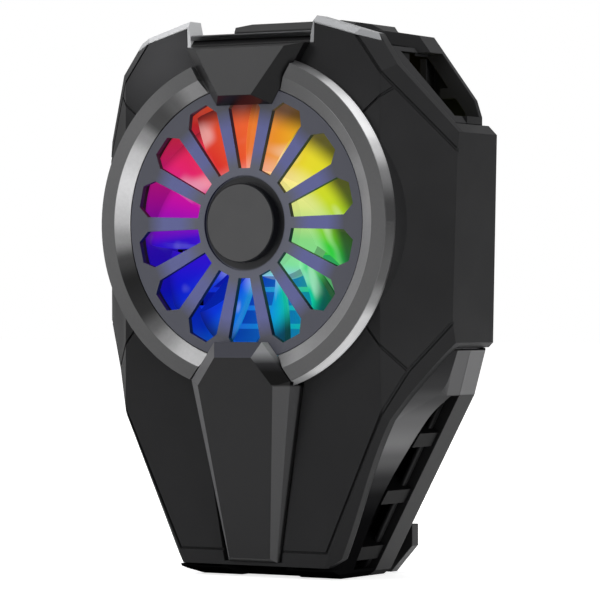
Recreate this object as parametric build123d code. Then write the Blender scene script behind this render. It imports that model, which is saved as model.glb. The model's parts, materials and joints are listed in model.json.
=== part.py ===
from build123d import *
import os
from math import asin, cos, degrees, hypot, radians, sin

os.makedirs("parts", exist_ok=True)

# Clip-on phone cooler. It is drawn about the fan axis, with the front plane of the bezel ring at
# depth zero, depth growing along +Y towards the phone, X to the right and Z up. At the end every
# piece is moved so that the origin is the centre of the soft pad that touches the phone.

# Placing
pad_depth = 29.0
pad_drop = 12.0

# Clearances and the overrun of cuts
overrun = 1.0
seat_gap = 0.05
slide_gap = 0.3
fit_gap = 0.2

# Front cover, seen from the front
side_half = 33.0
side_taper = 0.7
side_low_half = side_half - side_taper
corner_inset = 10.6
waist_top_inset = 6.2
waist_mid_inset = 4.2
waist_low_inset = 3.7
foot_inset = 3.5
toe_inset = 1.8
notch_half = 11.3
notch_floor = 29.6
peak_half = 12.0
peak_top = 32.7
corner_half = side_half - corner_inset
corner_top = 29.6
shoulder_low = 14.1
side_low = 19.0
waist_top_half = side_half - waist_top_inset
waist_top_drop = 27.4
waist_mid_half = waist_top_half - waist_mid_inset
waist_mid_drop = 35.8
waist_low_half = waist_mid_half - waist_low_inset
waist_low_drop = 44.8
foot_half = waist_low_half - foot_inset
foot_drop = 53.2
toe_half = foot_half - toe_inset
cover_bottom = 54.6

# Front cover, in depth
cover_wall = 1.8
cover_front = 3.0
flat_inset = 9.0
flat_half = side_half - flat_inset
flank_depth = 11.8
cover_rim = cover_wall
side_wall_rear = 24.6
side_wall_front = 9.0
side_wall_bevel = 1.5
side_low_bevel = 0.8
lower_tilt_start = 24.0
lower_tilt_share = 0.03

# Edge band outside the panel groove
groove_top_inset = 3.3
groove_top_half = corner_half - groove_top_inset
groove_top = 30.0
groove_side_height = 11.15
groove_side_drop = 15.8
groove_waist_gain = 0.4
groove_waist_half = waist_top_half + groove_waist_gain
groove_waist_drop = 23.3
groove_foot_inset = 1.7
groove_foot_half = foot_half - groove_foot_inset
groove_foot_drop = 52.2
band_slope_share = 1.03
flank_band_slope_share = 0.2
waist_band_slope_share = 1.4
waist_flank_slope_share = 0.7
groove_width = 0.4
groove_depth = 0.4
seam_high_angle = 39.3
seam_low_angle = 37.3

# Bright trim on the top edge
trim_height = 1.2
trim_bevel = 0.9
trim_rear = 7.0

# Bezel ring and its collar
ring_inner = 21.9
dish_outer = 24.25
annulus_outer = 26.69
ring_outer = 27.1
dish_depth = 1.25
ring_chamfer_depth = 2.2
ring_rear = 2.6
collar_bore = 24.6
collar_rear = 8.0
grille_ledge_bore = 20.9

# Fan grille
grille_radius = 21.8
grille_front = 1.3
grille_thickness = 0.9
window_count = 14
window_inner = 8.75
window_wide = 18.25
window_outer = 20.25
window_inner_half = 1.08
window_wide_half = 2.98
window_outer_half = 1.7
hub_recess_radius = 7.57
hub_recess_depth = 0.4
cap_radius = 6.29
cap_front = 0.0
cap_bevel = 0.15

# Brow plate over the ring
brow_top_half = 11.2
brow_top = 28.3
brow_bottom_half = 5.2
brow_bottom = 18.8
brow_base = 1.2
brow_face_top_half = 8.42
brow_face_top = 27.8
brow_face_bottom_half = 3.08
brow_face_bottom = 20.18
brow_face_top_rise = 0.33
brow_face_bottom_rise = 1.7

# Chin plate under the ring
chin_tip_half = 4.46
chin_tip_drop = 18.9
chin_tip_rise = 0.6
chin_knee_half = 9.3
chin_knee_drop = 25.0
chin_foot_half = 4.5
chin_foot_drop = 54.0
chin_foot_depth = 3.9
chin_face_tip_half = 3.43
chin_face_tip_drop = 21.35
chin_face_tip_rise = 2.2
chin_face_knee_half = 7.03
chin_face_knee_drop = 25.9
chin_face_foot_half = 3.84
chin_face_foot_drop = 53.4
chin_face_foot_depth = 2.9
chin_rear = 4.9
chin_moat = 0.9
moat_floor = 1.2

# Mid frame
mid_front = 5.0
mid_crease = 14.0
mid_rear = 18.0
mid_wall = 1.6
mid_side_half = side_low_half - cover_wall - fit_gap
mid_top = 29.0
mid_top_half = 13.0
mid_corner_inset = 0.7
mid_corner_half = corner_half - mid_corner_inset
mid_corner_top = 28.0
ledge_inset = 1.8
ledge_half = side_half - ledge_inset
ledge_height = 15.7
ledge_thickness = 1.2
block_top = 20.0
block_inset = 1.2
block_half = side_half - block_inset
block_front_inset = 0.8
block_bottom_inset = 2.0
block_bottom_half = block_half - block_bottom_inset
block_bottom = 27.3
rim_inset = 0.5
frame_bottom = 56.6
frame_foot_inset = 1.1
frame_foot_half = foot_half - frame_foot_inset
frame_foot_drop = 55.7
frame_toe_inset = 1.3
frame_toe_half = frame_foot_half - frame_toe_inset
base_bevel_rise = 1.4
base_bevel_rear = 9.5

# Shoulder window and flank window, in depth and height
shoulder_window_top = 27.2
shoulder_window_low = ledge_height + ledge_thickness
shoulder_window_front_top = 12.4
shoulder_window_front_low = 15.7
flank_window_top = 27.4
flank_window_bottom = 55.2
flank_rim_depths = (15.4, 13.1, 11.9, 10.9, 10.2, 10.5, 11.0)
flank_rim_drops = (27.4, 29.6, 33.5, 38.6, 44.1, 50.7, 55.2)

# Louvres in the flank windows
louvre_pitch = 9.1
louvre_first_drop = 35.5
louvre_count = 3
louvre_band = 2.2
louvre_rise = 3.2
louvre_reach = 4.5
louvre_front = 9.0
louvre_inset = 0.4
louvre_rail = 1.2
louvre_rail_front = 12.0
louvre_rail_top = 29.5
louvre_rail_low = 55.0

# Rear cover
rear_wall = 1.8
rear_skirt_end = 23.0
rear_plate_front = 24.8
rear_plate_back = 27.0
rear_draft_inset = 2.4
rear_top = 31.4
rear_top_half = 14.0
rear_corner_half = corner_half
rear_corner_top = 30.0
rear_shoulder_inset = 2.7
rear_shoulder_half = side_half - rear_shoulder_inset
rear_shoulder_height = 19.6
rear_window_lip = 22.0
shelf_height = 20.0
shelf_thickness = 1.7
shelf_half = 24.0
guide_gap = 0.3
guide_width = 1.2
guide_low = 4.0
guide_high = 26.6

# Fan
duct_bore = 21.1
duct_outer = 22.6
duct_front = 4.75
duct_rear = 13.4
strut_count = 4
strut_width = 2.2
strut_depth = 1.2
motor_seat_radius = 9.0
motor_seat_depth = 1.2
sleeve_outer = 2.4
sleeve_bore = 0.79
sleeve_length = 6.0
shaft_radius = 0.75
rotor_front = 5.0
rotor_hub = 8.4
rotor_hub_depth = 6.2
rotor_wall = 1.0
blade_count = 11
blade_tip = 20.5
blade_chord_root = 6.6
blade_chord_tip = 12.6
blade_thickness = 0.7
blade_pitch_root = 54.0
blade_pitch_tip = 29.0
blade_sweep = 15.0
magnet_thickness = 0.9
magnet_depth = 4.4
stator_outer = 6.2
stator_depth = 3.4
stator_poles = 6
stator_slot = 1.6
motor_board_radius = 7.0
motor_board_thickness = 0.8

# Light ring round the duct
light_board_outer = 25.8
light_board_thickness = 0.8
light_board_depth = 9.6
lamp_count = 8
lamp_side = 1.6
lamp_height = 0.9
lamp_radius = 24.2

# Heat sink and cold stack
element_half = 15.0
gasket_margin = 2.2
spring_room = 2.8
sink_half = element_half + gasket_margin + spring_room
sink_top = 21.0
sink_bottom = 33.0
sink_base_front = 20.0
sink_base_thickness = 1.8
fin_front = 13.8
fin_thickness = 0.8
fin_pitch = 3.0
element_drop = 12.0
ceramic_thickness = 0.7
core_thickness = 1.8
core_margin = 0.8
cold_boss_margin = 0.3
cold_boss_half = element_half + cold_boss_margin
cold_half = 20.0
cold_height_half = 21.0
cold_corner = 4.0
cold_plate_front = 27.0
cold_plate_back = 28.5
pad_half = 18.5
pad_height_half = 19.5
pad_corner = 3.0

# Upper claw: arm in the housing, slab on top and hook behind
arm_half = 10.0
arm_front = 22.2
arm_thickness = 2.0
arm_bottom = 6.0
ear_inset = 0.1
ear_half = sink_half - ear_inset
ear_height = 3.0
slab_top = 33.0
slab_top_half = 8.6
slab_edge_half = 12.5
slab_edge_fall = 0.6
slab_front = 16.0
slab_front_half = 11.3
slab_rear_half = 13.6
slab_bevel = 1.2
slab_crest = 23.0
slab_tail_top = 31.3
claw_reach = 39.0
hook_thickness = 2.2
hook_low = 24.6
hook_half = 10.5
jaw_pad_thickness = 1.2
upper_jaw_height = 27.0

# Lower claw
lower_half = 16.0
lower_neck_half = 12.5
lower_wide_drop = 48.7
lower_top_drop = 39.4
lower_jaw_drop = 41.5
lower_shelf = 2.4
lower_gusset_drop = 52.0
lower_edge_drop = 52.2
lower_toe_half = 12.0
lower_lip_rise = 2.4

# Clamp springs
spring_inset = 1.4
spring_x = sink_half - spring_inset
spring_radius = 1.1
spring_bore = 0.7
anchor_drop = 17.0
anchor_radius = 0.9

# Socket in the underside and the board above it
socket_half = 4.47
socket_depth_half = 1.58
socket_length = 7.3
socket_centre = 9.6
socket_wall = 0.3
socket_inset = 0.8
tongue_half = 3.3
tongue_depth_half = 0.35
recess_half = 5.6
recess_rear = 11.4
recess_height = 3.0
recess_wall = 1.2
board_inset = 4.3
board_half = frame_foot_half - board_inset
board_top_drop = 36.5
board_thickness = 1.0

# Length of the blocks that trim the outer shapes
reach = 2 * (side_half + frame_bottom)


def place(x, depth, height):
    return Vector(x, depth, height)


def outline_face(points, depth):
    """Closed face at a depth: right-hand points from top to bottom, a nested list is a smooth curve."""
    edges = []
    last = None
    for item in points:
        if isinstance(item, list):
            curve = [last] + item
            edges.append(Spline(*[place(x, depth, z) for x, z in curve]))
            last = item[-1]
            continue
        if last is not None:
            edges.append(Line(place(last[0], depth, last[1]), place(item[0], depth, item[1])))
        last = item
    first = points[0]
    edges = [edge.edge() for edge in edges]
    mirrored = [edge.mirror(Plane.YZ) for edge in edges]
    closing = []
    if first[0] > 0:
        closing.append(Edge.make_line(place(-first[0], depth, first[1]), place(first[0], depth, first[1])))
    if last[0] > 0:
        closing.append(Edge.make_line(place(-last[0], depth, last[1]), place(last[0], depth, last[1])))
    return make_face(edges + mirrored + closing)


def prism(points, front, back):
    """Outline carried straight back from one depth to another."""
    return extrude(outline_face(points, front), amount=back - front, dir=(0, 1, 0))


def front_of(point, tilt_x, tilt_z):
    """Block of all that lies in front of a plane through the point, with its rise along X and Z."""
    plane = Plane(origin=point, z_dir=(tilt_x, -1, tilt_z))
    return plane * Box(reach, reach, reach, align=(Align.CENTER, Align.CENTER, Align.MIN))


def ring_y(outer, inner, front, back):
    """Tube about the fan axis."""
    return disc_y(outer, front, back) - disc_y(inner, front - overrun, back + overrun)


def disc_y(radius, front, back, x=0, z=0):
    """Round bar along Y."""
    return extrude(Plane(origin=(x, front, z), z_dir=(0, 1, 0)) * Circle(radius), amount=back - front)


def slab_box(x0, x1, y0, y1, z0, z1):
    """Box between six planes."""
    size = Box(x1 - x0, y1 - y0, z1 - z0, align=(Align.MIN, Align.MIN, Align.MIN))
    return Pos(x0, y0, z0) * size


def both_sides(solid):
    """The solid and its mirror image across the middle plane."""
    return solid + mirror(solid, about=Plane.YZ)


def plate_y(half_x, half_z, corner, front, back, centre_z):
    """Upright plate with rounded corners."""
    plane = Plane(origin=(0, front, centre_z), x_dir=(1, 0, 0), z_dir=(0, 1, 0))
    return extrude(plane * RectangleRounded(2 * half_x, 2 * half_z, corner), amount=back - front)


# Outlines, right-hand points from top to bottom
cover_outline = [
    (notch_half, notch_floor),
    (peak_half, peak_top),
    (corner_half, corner_top),
    (side_half, shoulder_low),
    (side_low_half, -side_low),
    [
        (waist_top_half, -waist_top_drop),
        (waist_mid_half, -waist_mid_drop),
        (waist_low_half, -waist_low_drop),
        (foot_half, -foot_drop),
    ],
    (toe_half, -cover_bottom),
]

flank_slope = (flank_depth - cover_front) / (side_half - flat_half)


def edge_direction(x0, z0, x1, z1):
    """Outward unit normal, in X and Z, of an edge that runs down the right side."""
    length = hypot(x1 - x0, z1 - z0)
    return (z0 - z1) / length, (x1 - x0) / length


def band_cut(x0, z0, x1, z1, base_slope, slope, shift):
    """Block in front of the band that falls away outside the groove line, on the flat or the flank."""
    normal_x, normal_z = edge_direction(x0, z0, x1, z1)
    share = (flat_half - x0) / (x1 - x0)
    height = z0 + share * (z1 - z0)
    point = place(flat_half, cover_front + shift, height)
    return front_of(point, base_slope + slope * normal_x, slope * normal_z)


def front_cuts(shift):
    """Blocks in front of the flanks and the edge bands, pushed back by a shift."""
    right = slab_box(0, reach, -reach, reach, -reach, reach)
    upper = slab_box(0, reach, -reach, reach, 0, reach)
    lower = slab_box(0, reach, -reach, reach, -reach, 0)
    shoulder = (groove_top_half, groove_top, side_half, groove_side_height)
    waist_high = (side_low_half, -groove_side_drop, groove_waist_half, -groove_waist_drop)
    waist_low = (groove_waist_half, -groove_waist_drop, groove_foot_half, -groove_foot_drop)
    cuts = front_of(place(flat_half, cover_front + shift, 0), flank_slope, 0) & right
    cuts += band_cut(*shoulder, 0, band_slope_share, shift) & upper
    cuts += band_cut(*shoulder, flank_slope, flank_band_slope_share, shift) & upper
    waist = band_cut(*waist_low, 0, waist_band_slope_share, shift)
    waist += band_cut(*waist_low, flank_slope, waist_flank_slope_share, shift)
    waist_above = band_cut(*waist_high, 0, waist_band_slope_share, shift)
    waist_above += band_cut(*waist_high, flank_slope, waist_flank_slope_share, shift)
    waist &= waist_above
    cuts += front_of(place(0, cover_front + shift, -lower_tilt_start), 0, -lower_tilt_share) & lower
    return both_sides(cuts + (waist & lower))


def cover_block(points, shift):
    """Front cover's outer shape, solid, its front pushed back by a shift."""
    return prism(points, cover_front + shift, side_wall_rear) - front_cuts(shift)


def inset_outline(points, amount):
    """The outline drawn in by an amount, as right-hand points about the fan axis."""
    moved = []
    for item in points:
        if isinstance(item, list):
            moved.append([inset_point(x, z, amount) for x, z in item])
        else:
            moved.append(inset_point(*item, amount))
    return moved


def inset_point(x, z, amount):
    """A point drawn in along X and Z, never past the middle plane."""
    return max(x - amount, 0), z - amount if z > 0 else z + amount


def seam_end(angle):
    """Where a ray from the fan axis meets the groove line of the shoulder."""
    run, fall = side_half - groove_top_half, groove_side_height - groove_top
    share = (groove_top * cos(angle) - groove_top_half * sin(angle)) / (run * sin(angle) - fall * cos(angle))
    return groove_top_half + share * run, groove_top + share * fall


def thin_line(points, width, front, back):
    """Thin upright wall along a chain of points, for cutting a groove."""
    wall = None
    for (x0, z0), (x1, z1) in zip(points, points[1:]):
        length = hypot(x1 - x0, z1 - z0) + width
        angle = degrees(asin((z1 - z0) / hypot(x1 - x0, z1 - z0)))
        if x1 < x0:
            angle = 180 - angle
        centre = Pos((x0 + x1) / 2, (front + back) / 2, (z0 + z1) / 2)
        piece = centre * Rot(0, -angle, 0) * Box(length, back - front, width)
        wall = piece if wall is None else wall + piece
    return wall


def chin_outline(grow):
    """Chin plate's outline at its base, grown outwards by an amount."""
    return [
        (chin_tip_half + grow / 2, -chin_tip_drop + grow),
        (chin_knee_half + grow, -chin_knee_drop + grow / 2),
        (chin_foot_half + grow, -chin_foot_drop),
    ]


def brow_outline(grow):
    """Brow plate's outline at its base, grown outwards by an amount."""
    return [
        (brow_top_half + grow, brow_top + grow),
        (brow_bottom_half + grow, brow_bottom - grow),
    ]


def build_front_cover():
    outer = cover_block(cover_outline, 0)
    skin = outer - Pos(0, cover_rim, 0) * outer
    skin -= slab_box(-reach, reach, mid_rear - seat_gap, reach, -reach, reach)
    hollow = cover_block(inset_outline(cover_outline, cover_wall), cover_wall)
    cover = skin - hollow
    side = slab_box(side_low_half - cover_wall, side_half, side_wall_front, side_wall_rear,
                    -side_low - side_low_bevel, shoulder_low + side_wall_bevel)
    corner_block = Box(reach, reach, reach, align=(Align.MIN, Align.CENTER, Align.CENTER))
    side -= Pos(side_half, 0, shoulder_low) * Rot(0, -45, 0) * corner_block
    side -= Pos(side_low_half, 0, -side_low) * Rot(0, 45, 0) * corner_block
    side = side & outer
    cover += both_sides(side)
    # The collar carries the ring and the grille, and is open to the fan
    collar = disc_y(ring_outer, ring_rear + seat_gap, collar_rear)
    cover -= disc_y(ring_outer, -overrun, side_wall_rear)
    cover += collar
    cover -= disc_y(collar_bore, -overrun, grille_front + grille_thickness + seat_gap)
    cover -= disc_y(duct_outer + fit_gap, grille_front + grille_thickness + cover_wall, side_wall_rear)
    cover -= disc_y(grille_ledge_bore, -overrun, side_wall_rear)
    # Seats of the brow and chin plates, the chin's with a floor and a dark moat round it
    floor = prism(chin_outline(chin_moat + moat_floor), cover_front + cover_wall / 2, chin_rear + moat_floor)
    cover += (floor & outer) - disc_y(ring_outer, 0, side_wall_rear)
    cover -= prism(chin_outline(chin_moat), -chin_face_tip_rise, chin_rear)
    cover -= prism(brow_outline(fit_gap), -brow_face_bottom_rise, cover_front)
    # Panel groove and seams
    face_skin = cover - Pos(0, groove_depth, 0) * cover
    groove = [
        (groove_top_half, groove_top),
        (side_half, groove_side_height),
    ]
    waist_groove = [
        (side_low_half, -groove_side_drop),
        (groove_waist_half, -groove_waist_drop),
        (groove_foot_half, -groove_foot_drop),
        (chin_foot_half + chin_moat, -groove_foot_drop),
    ]
    high = radians(seam_high_angle)
    low = radians(seam_low_angle)
    upper_seam = [
        (ring_outer * cos(high), ring_outer * sin(high)),
        seam_end(high),
    ]
    lower_seam = [
        (ring_outer * cos(low), -ring_outer * sin(low)),
        (groove_waist_half, -groove_waist_drop),
    ]
    for chain in (groove, waist_groove, upper_seam, lower_seam):
        line = thin_line(chain, groove_width, 0, flank_depth + cover_rim)
        cover -= both_sides(line & face_skin)
    # Top edge lowered to take the bright trim
    cover -= build_top_trim(fit_gap / 2)
    return cover


def build_top_trim(grow):
    upper = [
        (notch_half, notch_floor),
        (peak_half, peak_top),
        (corner_half, corner_top),
    ]
    lower = [
        (corner_half + trim_height / 2 + grow, corner_top - trim_height - grow),
        (peak_half + grow, peak_top - trim_height - grow),
        (notch_half + trim_height / 2, notch_floor - trim_height - grow),
    ]
    corners = [(0, notch_floor)] + upper + lower + [(0, notch_floor - trim_height - grow)]
    face = outline_face(corners, cover_front)
    trim = extrude(face, amount=trim_rear - cover_front + grow, dir=(0, 1, 0))
    if grow:
        return trim
    trim &= cover_block(cover_outline, 0)
    middle = slab_box(-notch_half, notch_half, -reach, reach, -reach, reach)
    trim -= front_of(place(0, cover_front, notch_floor - trim_bevel), 0, 1) & middle
    normal_x, normal_z = edge_direction(peak_half, peak_top, corner_half, corner_top)
    point = place(peak_half - normal_x * trim_bevel, cover_front, peak_top - normal_z * trim_bevel)
    side = slab_box(notch_half, reach, -reach, reach, -reach, reach)
    return trim - both_sides(front_of(point, normal_x, normal_z) & side)


def build_bezel_ring():
    profile = [
        (annulus_outer, 0),
        (ring_outer, ring_chamfer_depth),
        (ring_outer, ring_rear),
        (ring_inner + cover_wall / 2, ring_rear),
        (ring_inner, dish_depth),
        (dish_outer, 0),
    ]
    face = make_face(Polyline(*[place(r, d, 0) for r, d in profile], close=True))
    ring = revolve(face, axis=Axis.Y)
    ring -= prism(brow_outline(fit_gap), -overrun - brow_face_bottom_rise, grille_front)
    ring -= prism(chin_outline(fit_gap), -overrun - chin_face_tip_rise, grille_front)
    return ring - disc_y(grille_radius + fit_gap, grille_front - seat_gap, ring_rear + overrun)


def window_face(plane):
    """One tapering window of the grille, pointing up."""
    points = [
        (-window_inner_half, window_inner),
        (window_inner_half, window_inner),
        (window_wide_half, window_wide),
        (window_outer_half, window_outer),
        (-window_outer_half, window_outer),
        (-window_wide_half, window_wide),
    ]
    return plane * make_face(Polyline(*points, close=True))


def build_fan_grille():
    back = grille_front + grille_thickness
    grille = disc_y(grille_radius, grille_front, back)
    plane = Plane(origin=(0, grille_front - overrun, 0), x_dir=(1, 0, 0), z_dir=(0, -1, 0))
    for index in range(window_count):
        turned = Rot(0, index * 360 / window_count, 0)
        cut = extrude(window_face(plane), amount=-grille_thickness - 2 * overrun)
        grille -= turned * cut
    grille -= disc_y(hub_recess_radius, grille_front - overrun, grille_front + hub_recess_depth)
    return grille


def build_hub_cap():
    cap = disc_y(cap_radius, cap_front, grille_front + hub_recess_depth - seat_gap / 2)
    return chamfer(cap.edges().group_by(Axis.Y)[0], cap_bevel)


def build_brow_plate():
    front = [
        place(-brow_face_top_half, -brow_face_top_rise, brow_face_top),
        place(brow_face_top_half, -brow_face_top_rise, brow_face_top),
        place(brow_face_bottom_half, -brow_face_bottom_rise, brow_face_bottom),
        place(-brow_face_bottom_half, -brow_face_bottom_rise, brow_face_bottom),
    ]
    base = [
        place(-brow_top_half, brow_base, brow_top),
        place(brow_top_half, brow_base, brow_top),
        place(brow_bottom_half, brow_base, brow_bottom),
        place(-brow_bottom_half, brow_base, brow_bottom),
    ]
    faces = [make_face(Polyline(*corners, close=True)) for corners in (base, front)]
    plate = loft(faces, ruled=True) + prism(brow_outline(0), brow_base, cover_front - seat_gap)
    return plate - disc_y(ring_outer + fit_gap, grille_front - seat_gap, cover_front + overrun)


def build_chin_plate():
    front = [
        place(-chin_face_tip_half, -chin_face_tip_rise, -chin_face_tip_drop),
        place(chin_face_tip_half, -chin_face_tip_rise, -chin_face_tip_drop),
        place(chin_face_knee_half, 0, -chin_face_knee_drop),
        place(chin_face_foot_half, chin_face_foot_depth, -chin_face_foot_drop),
        place(-chin_face_foot_half, chin_face_foot_depth, -chin_face_foot_drop),
        place(-chin_face_knee_half, 0, -chin_face_knee_drop),
    ]
    base = [
        place(-chin_tip_half, -chin_tip_rise, -chin_tip_drop),
        place(chin_tip_half, -chin_tip_rise, -chin_tip_drop),
        place(chin_knee_half, 0, -chin_knee_drop),
        place(chin_foot_half, chin_foot_depth, -chin_foot_drop),
        place(-chin_foot_half, chin_foot_depth, -chin_foot_drop),
        place(-chin_knee_half, 0, -chin_knee_drop),
    ]
    for corners in (front, base):
        run = corners[3].Z - corners[1].Z
        for index in (2, 5):
            share = (corners[index].Z - corners[1].Z) / run
            corners[index] = place(corners[index].X, corners[1].Y + share * (corners[3].Y - corners[1].Y),
                                   corners[index].Z)
    front_face = make_face(Polyline(*front, close=True))
    base_face = make_face(Polyline(*base, close=True))
    plate = loft([base_face, front_face], ruled=True)
    back = extrude(base_face, amount=reach, dir=(0, 1, 0))
    plate += back & slab_box(-reach, reach, -reach, chin_rear - seat_gap, -reach, reach)
    return plate - disc_y(ring_outer + fit_gap, grille_front - seat_gap, chin_rear + overrun)


def mid_points(front):
    """Mid frame's outline, following the cover's waist in front and the rear cover's taper behind."""
    if front:
        block_side, block_low = block_half - block_front_inset, waist_top_half - rim_inset
        curve = [
            (waist_mid_half - rim_inset, -waist_mid_drop),
            (waist_low_half - rim_inset, -waist_low_drop),
            (foot_half - rim_inset, -foot_drop),
        ]
    else:
        block_side, block_low = block_half, block_bottom_half
        curve = [(taper_half(drop), -drop) for drop in (waist_mid_drop, waist_low_drop, foot_drop)]
    return [
        (0, mid_top),
        (mid_top_half, mid_top),
        (mid_corner_half, mid_corner_top),
        (ledge_half, ledge_height),
        (mid_side_half, ledge_height),
        (mid_side_half, -block_top),
        (block_side, -block_top - fit_gap),
        (block_low, -block_bottom),
        curve,
        (frame_foot_half, -frame_foot_drop),
        (frame_toe_half, -frame_bottom),
    ]


def taper_half(drop):
    """Half width of the straight lower taper at a drop below the fan axis."""
    share = (drop - block_bottom) / (frame_foot_drop - block_bottom)
    return block_bottom_half + share * (frame_foot_half - block_bottom_half)


def build_mid_frame():
    front, rear = mid_points(True), mid_points(False)
    outer = loft([outline_face(front, mid_front), outline_face(rear, mid_crease)], ruled=True)
    outer += prism(rear, mid_crease, mid_rear)
    inner_front = outline_face(inset_outline(front, mid_wall), mid_front - seat_gap)
    inner_rear = inset_outline(rear, mid_wall)
    inner = loft([inner_front, outline_face(inner_rear, mid_crease)], ruled=True)
    frame = outer - inner - prism(inner_rear, mid_crease - seat_gap, mid_rear + seat_gap)
    # Pocket of the socket in the base, open to the front and below
    pocket_top = -frame_bottom + recess_height
    pocket_half = recess_half + recess_wall
    pocket = slab_box(-pocket_half, pocket_half, mid_front, recess_rear + recess_wall,
                      -frame_bottom, pocket_top + recess_wall)
    frame += pocket & outer
    frame -= slab_box(-recess_half, recess_half, mid_front - overrun, recess_rear, -reach, pocket_top)
    slot = SlotOverall(2 * (socket_half + seat_gap), 2 * (socket_depth_half + seat_gap))
    plane = Plane(origin=(0, socket_centre, pocket_top - overrun), z_dir=(0, 0, 1))
    frame -= extrude(plane * slot, amount=recess_wall + 2 * overrun)
    # Front edge follows the back of the cover's rim
    behind = cover_rim + seat_gap
    ahead = front_cuts(behind) + slab_box(-reach, reach, -reach, cover_front + behind, -reach, reach)
    ahead += prism(chin_outline(chin_moat + moat_floor + fit_gap), 0, chin_rear + moat_floor + seat_gap)
    frame -= ahead & slab_box(-reach, reach, -reach, reach, -cover_bottom - fit_gap, reach)
    frame -= build_top_trim(fit_gap / 2)
    slope = (base_bevel_rear - mid_front) / base_bevel_rise
    frame -= front_of(place(0, base_bevel_rear, -frame_bottom), 0, -slope) & slab_box(
        -reach, reach, -reach, base_bevel_rear, -reach, -frame_bottom + base_bevel_rise)
    frame -= both_sides(shoulder_window())
    frame -= both_sides(flank_window())
    return frame


def shoulder_window():
    """Cutter of the shoulder window, as a prism along X."""
    points = [
        (shoulder_window_front_top, shoulder_window_top),
        (mid_rear + overrun, shoulder_window_top),
        (mid_rear + overrun, shoulder_window_low),
        (shoulder_window_front_low, shoulder_window_low),
    ]
    face = make_face(Polyline(*[place(mid_corner_half - overrun, d, z) for d, z in points], close=True))
    return extrude(face, amount=reach, dir=(1, 0, 0))


def flank_window():
    """Cutter of the flank window, with the rim's curved edge in front."""
    rim = [place(0, d, -z) for d, z in zip(flank_rim_depths, flank_rim_drops)]
    top = place(0, mid_rear + overrun, -flank_window_top)
    low = place(0, mid_rear + overrun, -flank_window_bottom)
    face = make_face(Spline(*rim) + Polyline(rim[-1], low, top, rim[0]))
    start = frame_toe_half - mid_wall
    return extrude(Pos(start, 0, 0) * face, amount=reach, dir=(1, 0, 0))


def build_louvres():
    """Three bevelled slats on an inner rail, right-hand side."""
    slope = (block_bottom_half - frame_foot_half) / (frame_foot_drop - block_bottom)
    top, low = -louvre_rail_top, -louvre_rail_low
    rail_face = [
        (taper_half(louvre_rail_top) - louvre_reach - louvre_rail, top),
        (taper_half(louvre_rail_top) - louvre_reach, top),
        (taper_half(louvre_rail_low) - louvre_reach, low),
        (taper_half(louvre_rail_low) - louvre_reach - louvre_rail, low),
    ]
    rail_depth = mid_rear - louvre_rail_front
    louvres = extrude(depth_face(rail_face, louvre_rail_front), amount=rail_depth, dir=(0, 1, 0))
    window = flank_window()
    for index in range(louvre_count):
        drop = louvre_first_drop + index * louvre_pitch
        outer_x = taper_half(drop) - louvre_inset
        inner_x = taper_half(drop - louvre_rise) - louvre_reach - louvre_rail / 2
        corners = [
            (outer_x, -drop),
            (outer_x + louvre_band * slope, -drop + louvre_band),
            (inner_x, -drop + louvre_band + louvre_rise),
            (inner_x - louvre_rise * slope, -drop),
        ]
        slat = extrude(depth_face(corners, louvre_front), amount=mid_rear - louvre_front, dir=(0, 1, 0))
        louvres += slat & window
    return louvres


def depth_face(points, depth):
    """Closed face at a depth through the given points."""
    return make_face(Polyline(*[place(x, depth, z) for x, z in points], close=True))


def rear_points(inset=0):
    """Rear cover's outline, drawn in by an inset."""
    points = [
        (0, rear_top),
        (rear_top_half, rear_top),
        (rear_corner_half, rear_corner_top),
        (rear_shoulder_half, rear_shoulder_height),
        (ledge_half, ledge_height + ledge_thickness),
        (ledge_half, ledge_height),
        (mid_side_half, ledge_height),
        (mid_side_half, -block_top),
        (block_half, -block_top - fit_gap),
        (block_bottom_half, -block_bottom),
        (frame_foot_half, -frame_foot_drop),
        (frame_toe_half, -frame_bottom),
    ]
    return inset_outline(points, inset) if inset else points


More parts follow.
